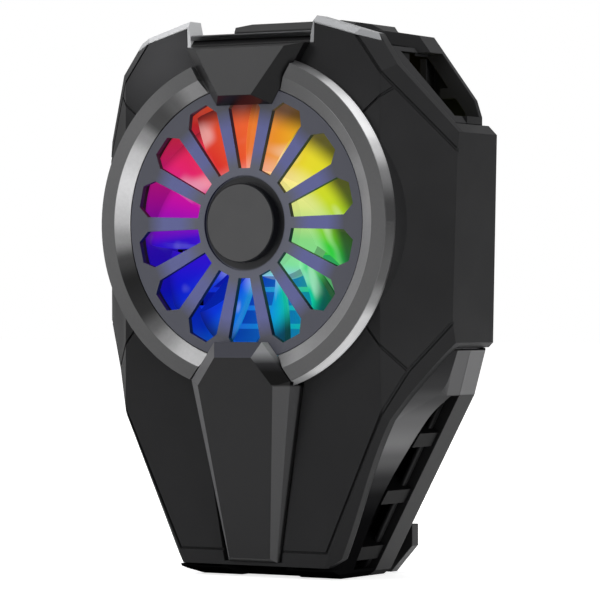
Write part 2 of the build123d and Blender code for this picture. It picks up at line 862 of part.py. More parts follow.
def build_rear_cover():
    skirt = prism(rear_points(), mid_rear + seat_gap, rear_skirt_end)
    tail = loft([outline_face(rear_points(), rear_skirt_end),
                 outline_face(rear_points(rear_draft_inset), rear_plate_back)], ruled=True)
    shape = skirt + tail
    cover = shape - prism(rear_points(rear_wall), mid_rear - overrun, rear_plate_front)
    # The top is let down where the claw's slab lies on it
    bed = slab_rear_half + slide_gap
    cover += slab_box(-bed - rear_wall, bed + rear_wall, mid_rear + seat_gap, rear_plate_front,
                      mid_top - rear_wall, rear_top) & shape
    cover -= slab_box(-bed, bed, mid_rear - overrun, reach, mid_top, reach)
    # Room for the front cover's side walls, and a shelf behind each shoulder window
    room_low, room_high = side_low + side_low_bevel + seat_gap, shoulder_low + side_wall_bevel + seat_gap
    cover -= both_sides(slab_box(side_low_half - cover_wall - seat_gap, reach, mid_rear, reach,
                                 -room_low, room_high))
    shelf = slab_box(shelf_half, reach, rear_window_lip, rear_plate_front + seat_gap,
                     shelf_height, shelf_height + shelf_thickness)
    cover += both_sides(shelf & shape)
    upper_lip = slab_box(mid_corner_half, reach, mid_rear - overrun, rear_window_lip,
                         shoulder_window_low, shoulder_window_top)
    cover -= both_sides(upper_lip)
    # Ways through for the cold plate's boss and for the claw's arm, with guides for the arm's ears
    boss = cold_boss_half + fit_gap
    cover -= slab_box(-boss, boss, rear_plate_front - overrun, rear_plate_back + overrun,
                      -element_drop - boss, -element_drop + boss)
    cover -= slab_box(-arm_half - slide_gap, arm_half + slide_gap, arm_front - slide_gap,
                      arm_front + arm_thickness + slide_gap, 0, reach)
    guide_x = ear_half + guide_gap
    cover += both_sides(slab_box(guide_x, guide_x + guide_width, arm_front, rear_plate_front + seat_gap,
                                 guide_low, guide_high))
    cover += both_sides(disc_y(anchor_radius, arm_front, rear_plate_front + seat_gap, spring_x, -anchor_drop))
    return cover


def build_rotor():
    """Hub cup and swept blades in one moulding."""
    hub = disc_y(rotor_hub, rotor_front, rotor_front + rotor_hub_depth)
    hub -= disc_y(rotor_hub - rotor_wall, rotor_front + rotor_wall, rotor_front + rotor_hub_depth + overrun)
    hub += disc_y(shaft_radius * 2, rotor_front, rotor_front + 2 * rotor_wall)
    hub -= disc_y(shaft_radius, rotor_front + rotor_wall / 2, rotor_front + rotor_hub_depth)
    middle = rotor_front + rotor_hub_depth / 2
    blade_radii = (rotor_hub - rotor_wall / 2, (rotor_hub + blade_tip) / 2, blade_tip)
    sections = []
    for index, radius in enumerate(blade_radii):
        share = index / (len(blade_radii) - 1)
        chord = blade_chord_root + share * (blade_chord_tip - blade_chord_root)
        pitch = blade_pitch_root + share * (blade_pitch_tip - blade_pitch_root)
        plane = Plane(origin=(0, middle, radius), x_dir=(1, 0, 0), z_dir=(0, 0, 1))
        section = plane * Rot(0, 0, pitch) * Rectangle(chord, blade_thickness)
        sections.append(Rot(0, share * blade_sweep, 0) * section)
    blade = loft(sections)
    rotor = hub
    for index in range(blade_count):
        rotor += Rot(0, index * 360 / blade_count, 0) * blade
    rotor &= disc_y(blade_tip, rotor_front, rotor_front + rotor_hub_depth)
    return rotor


def build_duct():
    duct = ring_y(duct_outer, duct_bore, duct_front, duct_rear)
    seat_front = duct_rear - motor_seat_depth
    duct += disc_y(motor_seat_radius, seat_front, duct_rear)
    for index in range(strut_count):
        strut = slab_box(-strut_width / 2, strut_width / 2, seat_front, seat_front + strut_depth,
                         motor_seat_radius - overrun, duct_bore + overrun / 2)
        duct += Rot(0, (index + 0.5) * 360 / strut_count, 0) * strut
    duct -= disc_y(sleeve_outer, seat_front - overrun, duct_rear + overrun)
    return duct


def build_stator():
    """Toothed core round the sleeve."""
    rear = stator_rear
    core = ring_y(stator_outer, sleeve_outer + seat_gap, rear - stator_depth, rear)
    for index in range(stator_poles):
        slot = slab_box(-stator_slot / 2, stator_slot / 2, rear - stator_depth - overrun, rear + overrun,
                        sleeve_outer + rotor_wall, stator_outer + overrun)
        core -= Rot(0, index * 360 / stator_poles, 0) * slot
    return core


def build_lamp(index):
    """Small lamp on the front of the light board."""
    half = lamp_side / 2
    lamp = slab_box(-half, half, light_board_depth - lamp_height, light_board_depth - seat_gap / 2,
                    lamp_radius - half, lamp_radius + half)
    return Rot(0, (index + 0.5) * 360 / lamp_count, 0) * lamp


def build_upper_claw():
    """Arm, slab and hook of the sliding claw in one piece."""
    base = mid_top + slide_gap
    arm_back = arm_front + arm_thickness
    arm = slab_box(-arm_half, arm_half, arm_front, arm_back, arm_bottom, base + slab_bevel)
    arm += slab_box(-ear_half, ear_half, arm_front, arm_back, arm_bottom, arm_bottom + ear_height)
    jaw = upper_jaw_height + jaw_pad_thickness
    side = [
        (slab_front, base),
        (slab_front, slab_top - slab_bevel),
        (slab_front + slab_bevel, slab_top),
        (slab_crest, slab_top),
        (claw_reach - slab_bevel, slab_tail_top),
        (claw_reach, slab_tail_top - slab_bevel),
        (claw_reach, hook_low),
        (claw_reach - hook_thickness, hook_low),
        (claw_reach - hook_thickness, jaw),
        (rear_plate_back + slide_gap, jaw),
        (rear_plate_back + slide_gap, base),
    ]
    face = make_face(Polyline(*[place(-slab_rear_half, d, z) for d, z in side], close=True))
    slab = extrude(face, amount=2 * slab_rear_half, dir=(1, 0, 0))
    plan = [
        (slab_front_half, slab_front),
        (slab_rear_half, slab_crest),
        (slab_rear_half, rear_plate_back),
        (hook_half, rear_plate_back + slab_bevel),
        (hook_half, claw_reach),
    ]
    plan += [(-x, d) for x, d in reversed(plan)]
    face = make_face(Polyline(*[place(x, d, 0) for x, d in plan], close=True))
    slab &= extrude(face, amount=reach, dir=(0, 0, 1))
    crown = [
        (slab_top_half, slab_top),
        (slab_edge_half, slab_top - slab_edge_fall),
        (slab_rear_half, slab_top - slab_edge_fall - slab_bevel),
        (slab_rear_half, 0),
    ]
    return (slab & prism(crown, 0, reach)) + arm


def build_upper_jaw_pad():
    return slab_box(-hook_half + slide_gap, hook_half - slide_gap, pad_depth + slide_gap,
                    claw_reach - hook_thickness - seat_gap,
                    upper_jaw_height, upper_jaw_height + jaw_pad_thickness - seat_gap / 2)


def build_lower_claw():
    """Wide back plate with tapering toes, and a narrower shelf with a lip and a gusset."""
    shelf_top = -lower_jaw_drop - jaw_pad_thickness
    plate = [
        (lower_neck_half, -lower_top_drop),
        (lower_neck_half, -lower_wide_drop),
        (lower_half, -lower_wide_drop),
        (lower_half, -lower_edge_drop),
        (lower_toe_half, -frame_bottom),
    ]
    claw = prism(plate, rear_plate_back + seat_gap, pad_depth)
    side = [
        (pad_depth - seat_gap, shelf_top),
        (claw_reach - hook_thickness, shelf_top),
        (claw_reach - hook_thickness, -lower_jaw_drop + lower_lip_rise),
        (claw_reach, -lower_jaw_drop + lower_lip_rise),
        (claw_reach, shelf_top - lower_shelf),
        (pad_depth - seat_gap, -lower_gusset_drop),
    ]
    face = make_face(Polyline(*[place(-hook_half, d, z) for d, z in side], close=True))
    return claw + extrude(face, amount=2 * hook_half, dir=(1, 0, 0))


def build_lower_jaw_pad():
    return slab_box(-hook_half + slide_gap, hook_half - slide_gap, pad_depth + slide_gap,
                    claw_reach - hook_thickness - seat_gap,
                    -lower_jaw_drop - jaw_pad_thickness + seat_gap / 2, -lower_jaw_drop)


def build_spring():
    """Clamp spring of the right side, as the tube that its coil fills."""
    low = -anchor_drop + anchor_radius + seat_gap
    centre = arm_front + arm_thickness / 2
    plane = Plane(origin=(spring_x, centre, low), z_dir=(0, 0, 1))
    return extrude(plane * (Circle(spring_radius) - Circle(spring_bore)), amount=arm_bottom - low - seat_gap)


def build_heat_sink():
    back = sink_base_front + sink_base_thickness
    sink = slab_box(-sink_half, sink_half, sink_base_front, back, -sink_bottom, sink_top)
    count = int((sink_top + sink_bottom) // fin_pitch)
    start = -sink_bottom + ((sink_top + sink_bottom) - (count - 1) * fin_pitch - fin_thickness) / 2
    for index in range(count):
        low = start + index * fin_pitch
        sink += slab_box(-sink_half, sink_half, fin_front, sink_base_front, low, low + fin_thickness)
    return sink


# Depths in the motor and in the cold stack
stator_rear = duct_rear - motor_seat_depth - motor_board_thickness - 2 * seat_gap
stack_hot = sink_base_front + sink_base_thickness + seat_gap
stack_core = stack_hot + ceramic_thickness
stack_cold = stack_core + core_thickness
stack_end = stack_cold + ceramic_thickness


def build_cold_plate():
    boss = slab_box(-cold_boss_half, cold_boss_half, stack_end + seat_gap, cold_plate_back - seat_gap,
                    -element_drop - cold_boss_half, -element_drop + cold_boss_half)
    face = plate_y(cold_half, cold_height_half, cold_corner, cold_plate_front + seat_gap / 2, cold_plate_back,
                   -element_drop)
    return boss + face


def build_socket():
    """Metal shell with its tongue, open downwards."""
    low = -frame_bottom + recess_height - socket_inset
    plane = Plane(origin=(0, socket_centre, low), z_dir=(0, 0, 1))
    outer = SlotOverall(2 * socket_half, 2 * socket_depth_half)
    inner = SlotOverall(2 * (socket_half - socket_wall), 2 * (socket_depth_half - socket_wall))
    shell = extrude(plane * (outer - inner), amount=socket_length)
    back_plane = Plane(origin=(0, socket_centre, low + socket_length - socket_wall), z_dir=(0, 0, 1))
    back = extrude(back_plane * outer, amount=socket_wall)
    tongue = slab_box(-tongue_half, tongue_half, socket_centre - tongue_depth_half,
                      socket_centre + tongue_depth_half, low + socket_inset, low + socket_length)
    return shell + back + tongue


def square_plate(half, front, thickness):
    """Square plate of the cold stack."""
    back = front + thickness - seat_gap / 2
    return slab_box(-half, half, front, back, -element_drop - half, -element_drop + half)


def build_gasket():
    """Foam frame round the thermoelectric element."""
    half = element_half + gasket_margin
    frame = square_plate(half, stack_hot, rear_plate_front - stack_hot)
    through = stack_end - stack_hot + 2 * overrun
    return frame - square_plate(element_half + fit_gap, stack_hot - overrun, through)


def build_control_board():
    front = socket_centre + socket_depth_half + seat_gap
    low = -frame_bottom + recess_height + recess_wall + slide_gap
    return slab_box(-board_half, board_half, front, front + board_thickness, low, -board_top_drop)


shift = Pos(0, -pad_depth, pad_drop)


def save(name, solid):
    export_step(shift * solid, f"parts/{name}.step")


def save_pair(name, solid):
    """A right-hand piece and its mirror image."""
    save(f"{name}_right", solid)
    save(f"{name}_left", mirror(solid, about=Plane.YZ))


save("front_cover", build_front_cover())
save("top_trim", build_top_trim(0))
save("bezel_ring", build_bezel_ring())
save("fan_grille", build_fan_grille())
save("hub_cap", build_hub_cap())
save("brow_plate", build_brow_plate())
save("chin_plate", build_chin_plate())
save("mid_frame", build_mid_frame())
save_pair("louvres", build_louvres())
save("rear_cover", build_rear_cover())

save("fan_duct", build_duct())
save("fan_rotor", build_rotor())
save("rotor_shaft", disc_y(shaft_radius, rotor_front + rotor_wall / 2 + seat_gap, duct_rear - seat_gap))
cup_bore = rotor_hub - rotor_wall
magnet_front = rotor_front + rotor_wall + seat_gap
save("rotor_magnet", ring_y(cup_bore - seat_gap / 2, cup_bore - magnet_thickness, magnet_front,
                            magnet_front + magnet_depth))
save("bearing_sleeve", ring_y(sleeve_outer - seat_gap / 2, sleeve_bore, duct_rear - sleeve_length, duct_rear))
save("stator", build_stator())
save("motor_board", ring_y(motor_board_radius, sleeve_outer + seat_gap, stator_rear + seat_gap,
                           stator_rear + seat_gap + motor_board_thickness))
save("light_board", ring_y(light_board_outer, duct_outer + seat_gap, light_board_depth,
                           light_board_depth + light_board_thickness))
for lamp_index in range(lamp_count):
    save(f"lamp_{lamp_index + 1}", build_lamp(lamp_index))

save("heat_sink", build_heat_sink())
save("element_hot_plate", square_plate(element_half, stack_hot, ceramic_thickness))
save("element_core", square_plate(element_half - core_margin, stack_core, core_thickness))
save("element_cold_plate", square_plate(element_half, stack_cold, ceramic_thickness))
save("foam_gasket", build_gasket())
save("cold_plate", build_cold_plate())
save("cold_pad", plate_y(pad_half, pad_height_half, pad_corner, cold_plate_back + seat_gap / 2, pad_depth,
                         -element_drop))

save("upper_claw", build_upper_claw())
save("upper_jaw_pad", build_upper_jaw_pad())
save_pair("clamp_spring", build_spring())
save("lower_claw", build_lower_claw())
save("lower_jaw_pad", build_lower_jaw_pad())
save("power_socket", build_socket())
save("control_board", build_control_board())
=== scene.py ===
"""Visual scene of a clip-on phone cooler.

A lit fan turns behind a spoked grille in a faceted dark housing. A cold plate and a sprung claw on
the back hold it to a phone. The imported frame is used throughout: metres, X to the right seen from
the fan, Y out of the cold pad and Z up along the clamp.
"""

import json
import logging
import math
from dataclasses import dataclass
from enum import Enum

import bpy
import numpy as np
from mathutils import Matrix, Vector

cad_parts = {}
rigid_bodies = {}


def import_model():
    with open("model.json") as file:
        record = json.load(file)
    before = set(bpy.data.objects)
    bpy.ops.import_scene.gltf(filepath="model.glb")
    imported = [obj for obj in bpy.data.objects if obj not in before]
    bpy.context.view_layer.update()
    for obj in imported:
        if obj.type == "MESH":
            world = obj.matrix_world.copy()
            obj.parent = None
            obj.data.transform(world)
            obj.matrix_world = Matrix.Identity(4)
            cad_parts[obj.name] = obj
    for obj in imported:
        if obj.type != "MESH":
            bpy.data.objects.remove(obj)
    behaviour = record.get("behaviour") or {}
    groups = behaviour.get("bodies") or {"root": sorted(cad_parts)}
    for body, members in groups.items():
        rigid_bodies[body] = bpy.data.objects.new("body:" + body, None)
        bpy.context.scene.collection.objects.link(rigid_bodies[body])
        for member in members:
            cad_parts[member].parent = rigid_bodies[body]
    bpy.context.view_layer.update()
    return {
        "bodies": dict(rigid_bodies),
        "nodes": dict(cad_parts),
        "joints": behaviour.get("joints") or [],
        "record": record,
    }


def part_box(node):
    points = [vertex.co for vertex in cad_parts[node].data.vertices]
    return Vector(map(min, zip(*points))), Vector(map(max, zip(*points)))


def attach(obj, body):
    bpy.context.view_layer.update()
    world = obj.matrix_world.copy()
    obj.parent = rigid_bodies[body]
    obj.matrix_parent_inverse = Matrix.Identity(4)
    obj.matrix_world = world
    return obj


LOG = logging.getLogger("phone_cooler")
Colour = tuple[float, float, float]
Point = tuple[float, float, float]
Range = tuple[float, float]
Stops = list[tuple[float, Colour]]
Turns = tuple[tuple[int, int], ...]
Socket = bpy.types.NodeSocket
MM = 0.001
BLACK: Colour = (0.0, 0.0, 0.0)
WHITE: Colour = (1.0, 1.0, 1.0)


class Body(Enum):
    """Rigid bodies of the cooler that new pieces ride on."""

    HOUSING = "housing"


class Grain(Enum):
    """Surface structure of a moulding: size of the marks and their height, in metres."""

    SPARK = (0.16 * MM, 0.004 * MM)
    SATIN = (0.09 * MM, 0.0015 * MM)
    FINE = (0.12 * MM, 0.001 * MM)
    FROST = (0.3 * MM, 0.002 * MM)
    FOAM = (0.5 * MM, 0.05 * MM)
    CERAMIC = (0.25 * MM, 0.003 * MM)


class Lines(Enum):
    """Factors on the coordinates that draw a metal's fine lines across one axis."""

    ACROSS_X = (40.0, 1.0, 1.0)
    ACROSS_Y = (1.0, 40.0, 1.0)
    ACROSS_Z = (1.0, 1.0, 40.0)


def srgb(red: int, green: int, blue: int) -> Colour:
    """Turn screen values from 0 to 255 into scene-linear colour.

    Args:
        red: Red level.
        green: Green level.
        blue: Blue level.

    Returns:
        The linear colour.
    """
    level = np.array([red, green, blue]) / 255
    linear = np.where(level < 0.04045, level / 12.92, ((level + 0.055) / 1.055) ** 2.4)
    return float(linear[0]), float(linear[1]), float(linear[2])


def grey(level: int) -> Colour:
    """Give the faintly blue grey of the cooler's mouldings and plating for a screen level."""
    return srgb(level, level, level + 1)


def scaled(colour: Colour, factor: float) -> Colour:
    """Make a colour darker or lighter by a factor."""
    return colour[0] * factor, colour[1] * factor, colour[2] * factor


class NodeSheet:
    """A node tree, with short calls to add and join nodes."""

    def __init__(self, tree: bpy.types.NodeTree) -> None:
        """Empty a tree and keep it.

        Args:
            tree: Node tree of a material or world.
        """
        self.tree = tree
        self.tree.nodes.clear()

    def feed(self, socket: Socket, value: object) -> None:
        """Set a socket to a value, or join an output to it.

        Args:
            socket: The input socket.
            value: A number, a vector, a colour or an output socket.
        """
        if isinstance(value, bpy.types.NodeSocket):
            self.tree.links.new(value, socket)
        elif isinstance(value, tuple) and socket.type == "RGBA":
            socket.default_value = (*value, 1.0)
        else:
            socket.default_value = value

    def fill(self, node: bpy.types.Node, **links: object) -> bpy.types.Node:
        """Fill a node's sockets.

        Args:
            node: The node.
            **links: Socket name, with underscores for blanks, to a value or an output socket.

        Returns:
            The same node.
        """
        for key, value in links.items():
            self.feed(node.inputs[key.replace("_", " ")], value)
        return node

    def node(self, kind: str, **links: object) -> bpy.types.Node:
        """Add a node and fill its sockets.

        Args:
            kind: Node type without its ShaderNode prefix.
            **links: Socket name, with underscores for blanks, to a value or an output socket.

        Returns:
            The new node.
        """
        return self.fill(self.tree.nodes.new("ShaderNode" + kind), **links)

    def math(self, operation: str, first: object, second: object = 0.0) -> Socket:
        """Add a Math node.

        Args:
            operation: Name of the operation.
            first: First number or output.
            second: Second number or output.

        Returns:
            The node's output.
        """
        node = self.node("Math")
        node.operation = operation
        self.feed(node.inputs[0], first)
        self.feed(node.inputs[1], second)
        return node.outputs[0]

    def span(
        self, value: Socket, low: float, high: float, out_low: float = 0.0, out_high: float = 1.0
    ) -> Socket:
        """Carry a number smoothly from one range to another.

        Args:
            value: The number's output socket.
            low: Start of the range.
            high: End of the range.
            out_low: Result at the start.
            out_high: Result at the end.

        Returns:
            The mapped number's output.
        """
        node = self.node(
            "MapRange", Value=value, From_Min=low, From_Max=high, To_Min=out_low, To_Max=out_high
        )
        node.interpolation_type = "SMOOTHSTEP"
        return node.outputs["Result"]

    def blend(self, share: object, first: object, second: object) -> Socket:
        """Mix two colours.

        Args:
            share: How much of the second.
            first: First colour or output.
            second: Second colour or output.

        Returns:
            The mixed colour's output.
        """
        node = self.node("Mix")
        node.data_type = "RGBA"
        for index, value in ((0, share), (6, first), (7, second)):
            self.feed(node.inputs[index], value)
        return node.outputs[2]

    def ramp(self, value: Socket, stops: Stops, smooth: bool = True) -> Socket:
        """Turn a number from 0 to 1 into a colour.

        Args:
            value: The number's output.
            stops: Positions and colours in rising order.
            smooth: Ease between the stops, or go straight.

        Returns:
            The colour's output.
        """
        node = self.node("ValToRGB", Fac=value)
        band = node.color_ramp
        band.interpolation = "EASE" if smooth else "LINEAR"
        while len(band.elements) < len(stops):
            band.elements.new(0.5)
        for element, (position, colour) in zip(band.elements, stops):
            element.position = position
            element.color = (*colour, 1.0)
        return node.outputs["Color"]

    def rays(self) -> tuple[Socket, Socket]:
        """Tell the rays apart.

        Returns:
            Two outputs: 1 for rays from the camera, and 1 for rays by gloss or through glass.
        """
        path = self.node("LightPath").outputs
        gloss = self.math("MAXIMUM", path["Is Glossy Ray"], path["Is Transmission Ray"])
        return path["Is Camera Ray"], gloss


class Sheet(NodeSheet):
    """A material's node tree round one principled shader."""

    def __init__(self, name: str) -> None:
        """Start the material.

        Args:
            name: Name of the material.
        """
        self.material = bpy.data.materials.new(name)
        self.material.use_nodes = True
        super().__init__(self.material.node_tree)
        self.shader = self.node("BsdfPrincipled")
        self.node("OutputMaterial", Surface=self.shader.outputs["BSDF"])
        self.place = self.node("TexCoord").outputs["Object"]

    def surface(self, **links: object) -> None:
        """Fill the shader's own sockets by name, with underscores for blanks."""
        self.fill(self.shader, **links)

    def facing(self, axis: str) -> Socket:
        """Give one part of the facet's normal, by its axis."""
        normal = self.node("NewGeometry").outputs["True Normal"]
        return self.node("SeparateXYZ", Vector=normal).outputs[axis]

    def along(self, axis: str) -> Socket:
        """Give the position along one axis of the object, in metres."""
        return self.node("SeparateXYZ", Vector=self.place).outputs[axis]

    def noise(self, size: float, detail: float = 3.0, stretch: Point = (1.0, 1.0, 1.0)) -> Socket:
        """Add cloudy noise on the object's own coordinates.

        Args:
            size: Size of a cloud, in metres.
            detail: Finer layers.
            stretch: Factors on the coordinates.

        Returns:
            The noise's output, about 0.5 on average.
        """
        moved = self.node("Mapping", Vector=self.place, Scale=stretch).outputs["Vector"]
        return self.node("TexNoise", Vector=moved, Scale=1 / size, Detail=detail).outputs[0]

    def clouded(self, colour: Colour, spread: float, size: float = 7 * MM) -> Socket:
        """Cloud a colour with slightly darker and lighter patches.

        Args:
            colour: The colour in the middle.
            spread: Share by which it varies either way.
            size: Size of a cloud, in metres.

        Returns:
            The clouded colour's output.
        """
        darker, lighter = scaled(colour, 1 - spread), scaled(colour, 1 + spread)
        return self.blend(self.noise(size, 4.0), darker, lighter)

    def around(self, centre: Point) -> tuple[Socket, Socket]:
        """Give polar coordinates about an axis along Y.

        Args:
            centre: A point on the axis.

        Returns:
            The radius in metres, and the clockwise turn from the top as a share of a full turn.
        """
        moved = self.node("Mapping", Vector=self.place, Location=scaled(centre, -1))
        parts = self.node("SeparateXYZ", Vector=moved.outputs["Vector"]).outputs
        squares = [
            self.math("POWER", self.math("ABSOLUTE", parts[axis]), 2.0) for axis in ("X", "Z")
        ]
        radius = self.math("SQRT", self.math("ADD", *squares))
        turn = self.math("DIVIDE", self.math("ARCTAN2", parts["X"], parts["Z"]), 2 * math.pi)
        return radius, self.math("FRACT", self.math("ADD", turn, 1.0))

    def grain(self, grain: Grain, edge: float = 0.0) -> None:
        """Give the surface a grain, over edges softened to a radius.

        Args:
            grain: The grain.
            edge: Edge radius in metres, or 0 for none.
        """
        size, depth = grain.value
        self.relief(self.noise(size, 2.0), depth, edge)

    def drawn(self, lines: Lines) -> Socket:
        """Give the surface a metal's drawn lines.

        Args:
            lines: The axis that they run across.

        Returns:
            The lines' height output, from 0 to 1.
        """
        height = self.noise(2 * MM, 3.0, lines.value)
        self.relief(height, 0.002 * MM, 0.12 * MM)
        return height

    def relief(self, height: Socket, depth: float, edge: float = 0.0) -> None:
        """Bend the normal by a height, over edges softened to a radius.

        Args:
            height: The height's output, from 0 to 1.
            depth: Height in metres.
            edge: Edge radius in metres, or 0 for none.
        """
        bump = self.node("Bump", Height=height, Distance=depth, Strength=1.0)
        if edge:
            rounded = self.node("Bevel", Radius=edge)
            rounded.samples = 6
            self.fill(bump, Normal=rounded.outputs["Normal"])
        self.surface(Normal=bump.outputs["Normal"])


@dataclass(frozen=True)
class Finish:
    """A named finish that lays itself on a sheet."""

    name: str

    def make(self) -> bpy.types.Material:
        """Build the material.

        Returns:
            The material.
        """
        sheet = Sheet(self.name)
        self.paint(sheet)
        return sheet.material

    def paint(self, sheet: Sheet) -> None:
        """Lay the finish on a sheet. Every kind of finish brings its own way."""
        raise NotImplementedError(sheet.material.name)


@dataclass(frozen=True)
class Moulded(Finish):
    """Moulded plastic with a fine grain, slight clouding of colour, softened edges and, where
    asked, a painted highlight.
    """

    colour: Colour
    roughness: float
    grain: Grain = Grain.SPARK
    clouding: float = 0.12
    edge: float = 0.22 * MM
    specular: float = 0.25
    # The highlight spot is a painted highlight: the colour is lightened round a point, as a lamp's
    # reflection would light it.
    highlight_spot: Point | None = None
    highlight_size: float = 15 * MM
    highlight_share: float = 0.8
    highlight_gain: float = 4.6
    wear: float = 0.04

    def paint(self, sheet: Sheet) -> None:
        """Lay the plastic on a sheet, with a painted highlight, a lighter spot that stands in for a
        lamp's soft reflection, where one is asked for.

        Args:
            sheet: The material's sheet.
        """
        colour = sheet.clouded(self.colour, self.clouding)
        # Painted highlight: lighten the colour round the spot.
        if self.highlight_spot:
            distance, _ = sheet.around(self.highlight_spot)
            share = sheet.span(distance, 0.0, self.highlight_size, self.highlight_share, 0.0)
            colour = sheet.blend(share, colour, scaled(self.colour, self.highlight_gain))
        low, high = self.roughness - self.wear, self.roughness + self.wear
        handled = sheet.span(sheet.noise(11 * MM, 5.0), 0.35, 0.65, low, high)
        sheet.surface(Base_Color=colour, Roughness=handled, Specular_IOR_Level=self.specular)
        sheet.grain(self.grain, self.edge)


@dataclass(frozen=True)
class Metal(Finish):
    """Bare or plated metal with fine drawn lines."""

    colour: Colour
    roughness: float
    lines: Lines = Lines.ACROSS_Z
    line_shade: float = 0.86

    def paint(self, sheet: Sheet) -> None:
        """Lay the metal on a sheet.

        Args:
            sheet: The material's sheet.
        """
        drawn = sheet.drawn(self.lines)
        low, high = self.roughness * 0.85, self.roughness * 1.15
        sheet.surface(
            Base_Color=sheet.blend(drawn, scaled(self.colour, self.line_shade), self.colour),
            Roughness=sheet.span(drawn, 0.2, 0.8, low, high),
            Metallic=1.0,
        )


@dataclass(frozen=True)
class RingPlating(Finish):
    """Plated ring: a polished dish, a satin rim round it and a polished outer edge.

    Dish, edge and rim hold degrees clockwise from the top, each with a level from 0 to 255. These
    greys are painted reflections and painted shade: fixed lighter and darker stretches that stand
    in for what the polished and satin metal reflects. The outer edge also emits a painted
    highlight.
    """

    centre: Point
    dish_radius: float
    rim_radius: float
    dish_edge: Range = (-0.1 * MM, 0.02 * MM)
    rim_edge: Range = (-0.02 * MM, 0.06 * MM)
    # Strength of the painted highlight that the outer edge emits.
    painted_glint: float = 0.35
    marking: float = 0.16
    dish: Turns = (
        (0, 74), (25, 70), (40, 78), (56, 96), (72, 140), (90, 176), (112, 168), (136, 150),
        (152, 156), (162, 120), (180, 100), (195, 172), (208, 190), (218, 150), (225, 96),
        (233, 30), (247, 18), (256, 74), (264, 176), (272, 222), (286, 232), (298, 206),
        (307, 140), (314, 40), (319, 34), (326, 70), (336, 132), (350, 120), (360, 74),
    )
    edge: Turns = (
        (0, 60), (20, 70), (30, 110), (38, 206), (47, 250), (57, 250), (65, 196), (74, 116),
        (85, 56), (98, 38), (109, 48), (117, 128), (125, 232), (136, 254), (149, 250),
        (156, 178), (164, 86), (180, 50), (270, 62), (360, 60),
    )
    rim: Turns = (
        (0, 78), (40, 80), (90, 92), (140, 92), (190, 80), (230, 84), (275, 98), (310, 104),
        (335, 92), (360, 78),
    )

    def paint(self, sheet: Sheet) -> None:
        """Lay the plating on a sheet.

        Args:
            sheet: The material's sheet.
        """
        # The greys that turn with the angle are painted reflections and painted shade, not lamp
        # light.
        radius, turn = sheet.around(self.centre)
        dish, edge, rim = (
            sheet.ramp(turn, [(degrees / 360, grey(level)) for degrees, level in stops])
            for stops in (self.dish, self.edge, self.rim)
        )
        low, high = (self.dish_radius + shift for shift in self.dish_edge)
        inside = sheet.span(radius, low, high, 1.0, 0.0)
        low, high = (self.rim_radius + shift for shift in self.rim_edge)
        outside = sheet.span(radius, low, high)
        polished = sheet.math("MAXIMUM", inside, outside)
        colour = sheet.blend(polished, rim, sheet.blend(inside, edge, dish))
        brushed = sheet.noise(0.5 * MM, 4.0)
        marked = sheet.blend(sheet.math("MULTIPLY", brushed, self.marking), colour, BLACK)
        # The outer edge emits its own grey as a painted highlight.
        sheet.surface(
            Base_Color=marked,
            Metallic=sheet.span(inside, 0.0, 1.0, 0.12, 0.3),
            Roughness=sheet.span(polished, 0.0, 1.0, 0.45, 0.3),
            Emission_Color=marked,
            Emission_Strength=sheet.math("MULTIPLY", outside, self.painted_glint),
        )
        sheet.relief(brushed, 0.0003 * MM, 0.12 * MM)


@dataclass(frozen=True)
class GrillePlastic(Finish):
    """Grille plastic with the lamps' colour painted on its spokes as painted light, painted shade
    on its walls and round the hub, and a faint painted emission all over.

    The hub's edge and the spokes' rise and fall are shares of the reach, from the radius named.
    """

    centre: Point
    hub_radius: float
    spoke_start: float
    spoke_end: float
    reach: float = 24 * MM
    hub_edge: Range = (-0.012, 0.006)
    spoke_rise: Range = (0.02, 0.14)
    spoke_fall: Range = (-0.2, -0.07)
    # Painted shade fills the hollow round the hub.
    recess: Colour = srgb(6, 7, 11)
    hub: Colour = srgb(84, 86, 98)
    # Painted light: the lamps' colour tinted onto the spokes.
    painted_spoke_light: Colour = srgb(86, 90, 140)
    rim: Colour = srgb(66, 67, 76)
    # Painted shade on the window walls.
    wall: Colour = srgb(10, 11, 40)
    painted_glow: float = 0.32

    def paint(self, sheet: Sheet) -> None:
        """Lay the plastic on a sheet.

        Args:
            sheet: The material's sheet.
        """
        radius, _ = sheet.around(self.centre)
        lengths = (self.hub_radius, self.spoke_start, self.spoke_end)
        hub, start, end = (length / self.reach for length in lengths)
        stops = [
            (0.0, self.recess),
            (hub + self.hub_edge[0], self.recess),
            (hub + self.hub_edge[1], self.hub),
            (start + self.spoke_rise[0], self.hub),
            (start + self.spoke_rise[1], self.painted_spoke_light),
            (end + self.spoke_fall[0], self.painted_spoke_light),
            (end + self.spoke_fall[1], self.rim),
        ]
        face = sheet.ramp(sheet.math("DIVIDE", radius, self.reach), stops, False)
        # Faces that don't look forward take the painted wall shade.
        front = sheet.span(sheet.facing("Y"), -0.9, -0.4, 1.0, 0.0)
        colour = sheet.blend(front, self.wall, face)
        # The whole grille emits its colour faintly, a painted emission in place of lamp light.
        sheet.surface(
            Base_Color=colour,
            Emission_Color=colour,
            Emission_Strength=self.painted_glow,
            Roughness=0.4,
            Specular_IOR_Level=0.4,
        )
        sheet.grain(Grain.FINE, 0.1 * MM)


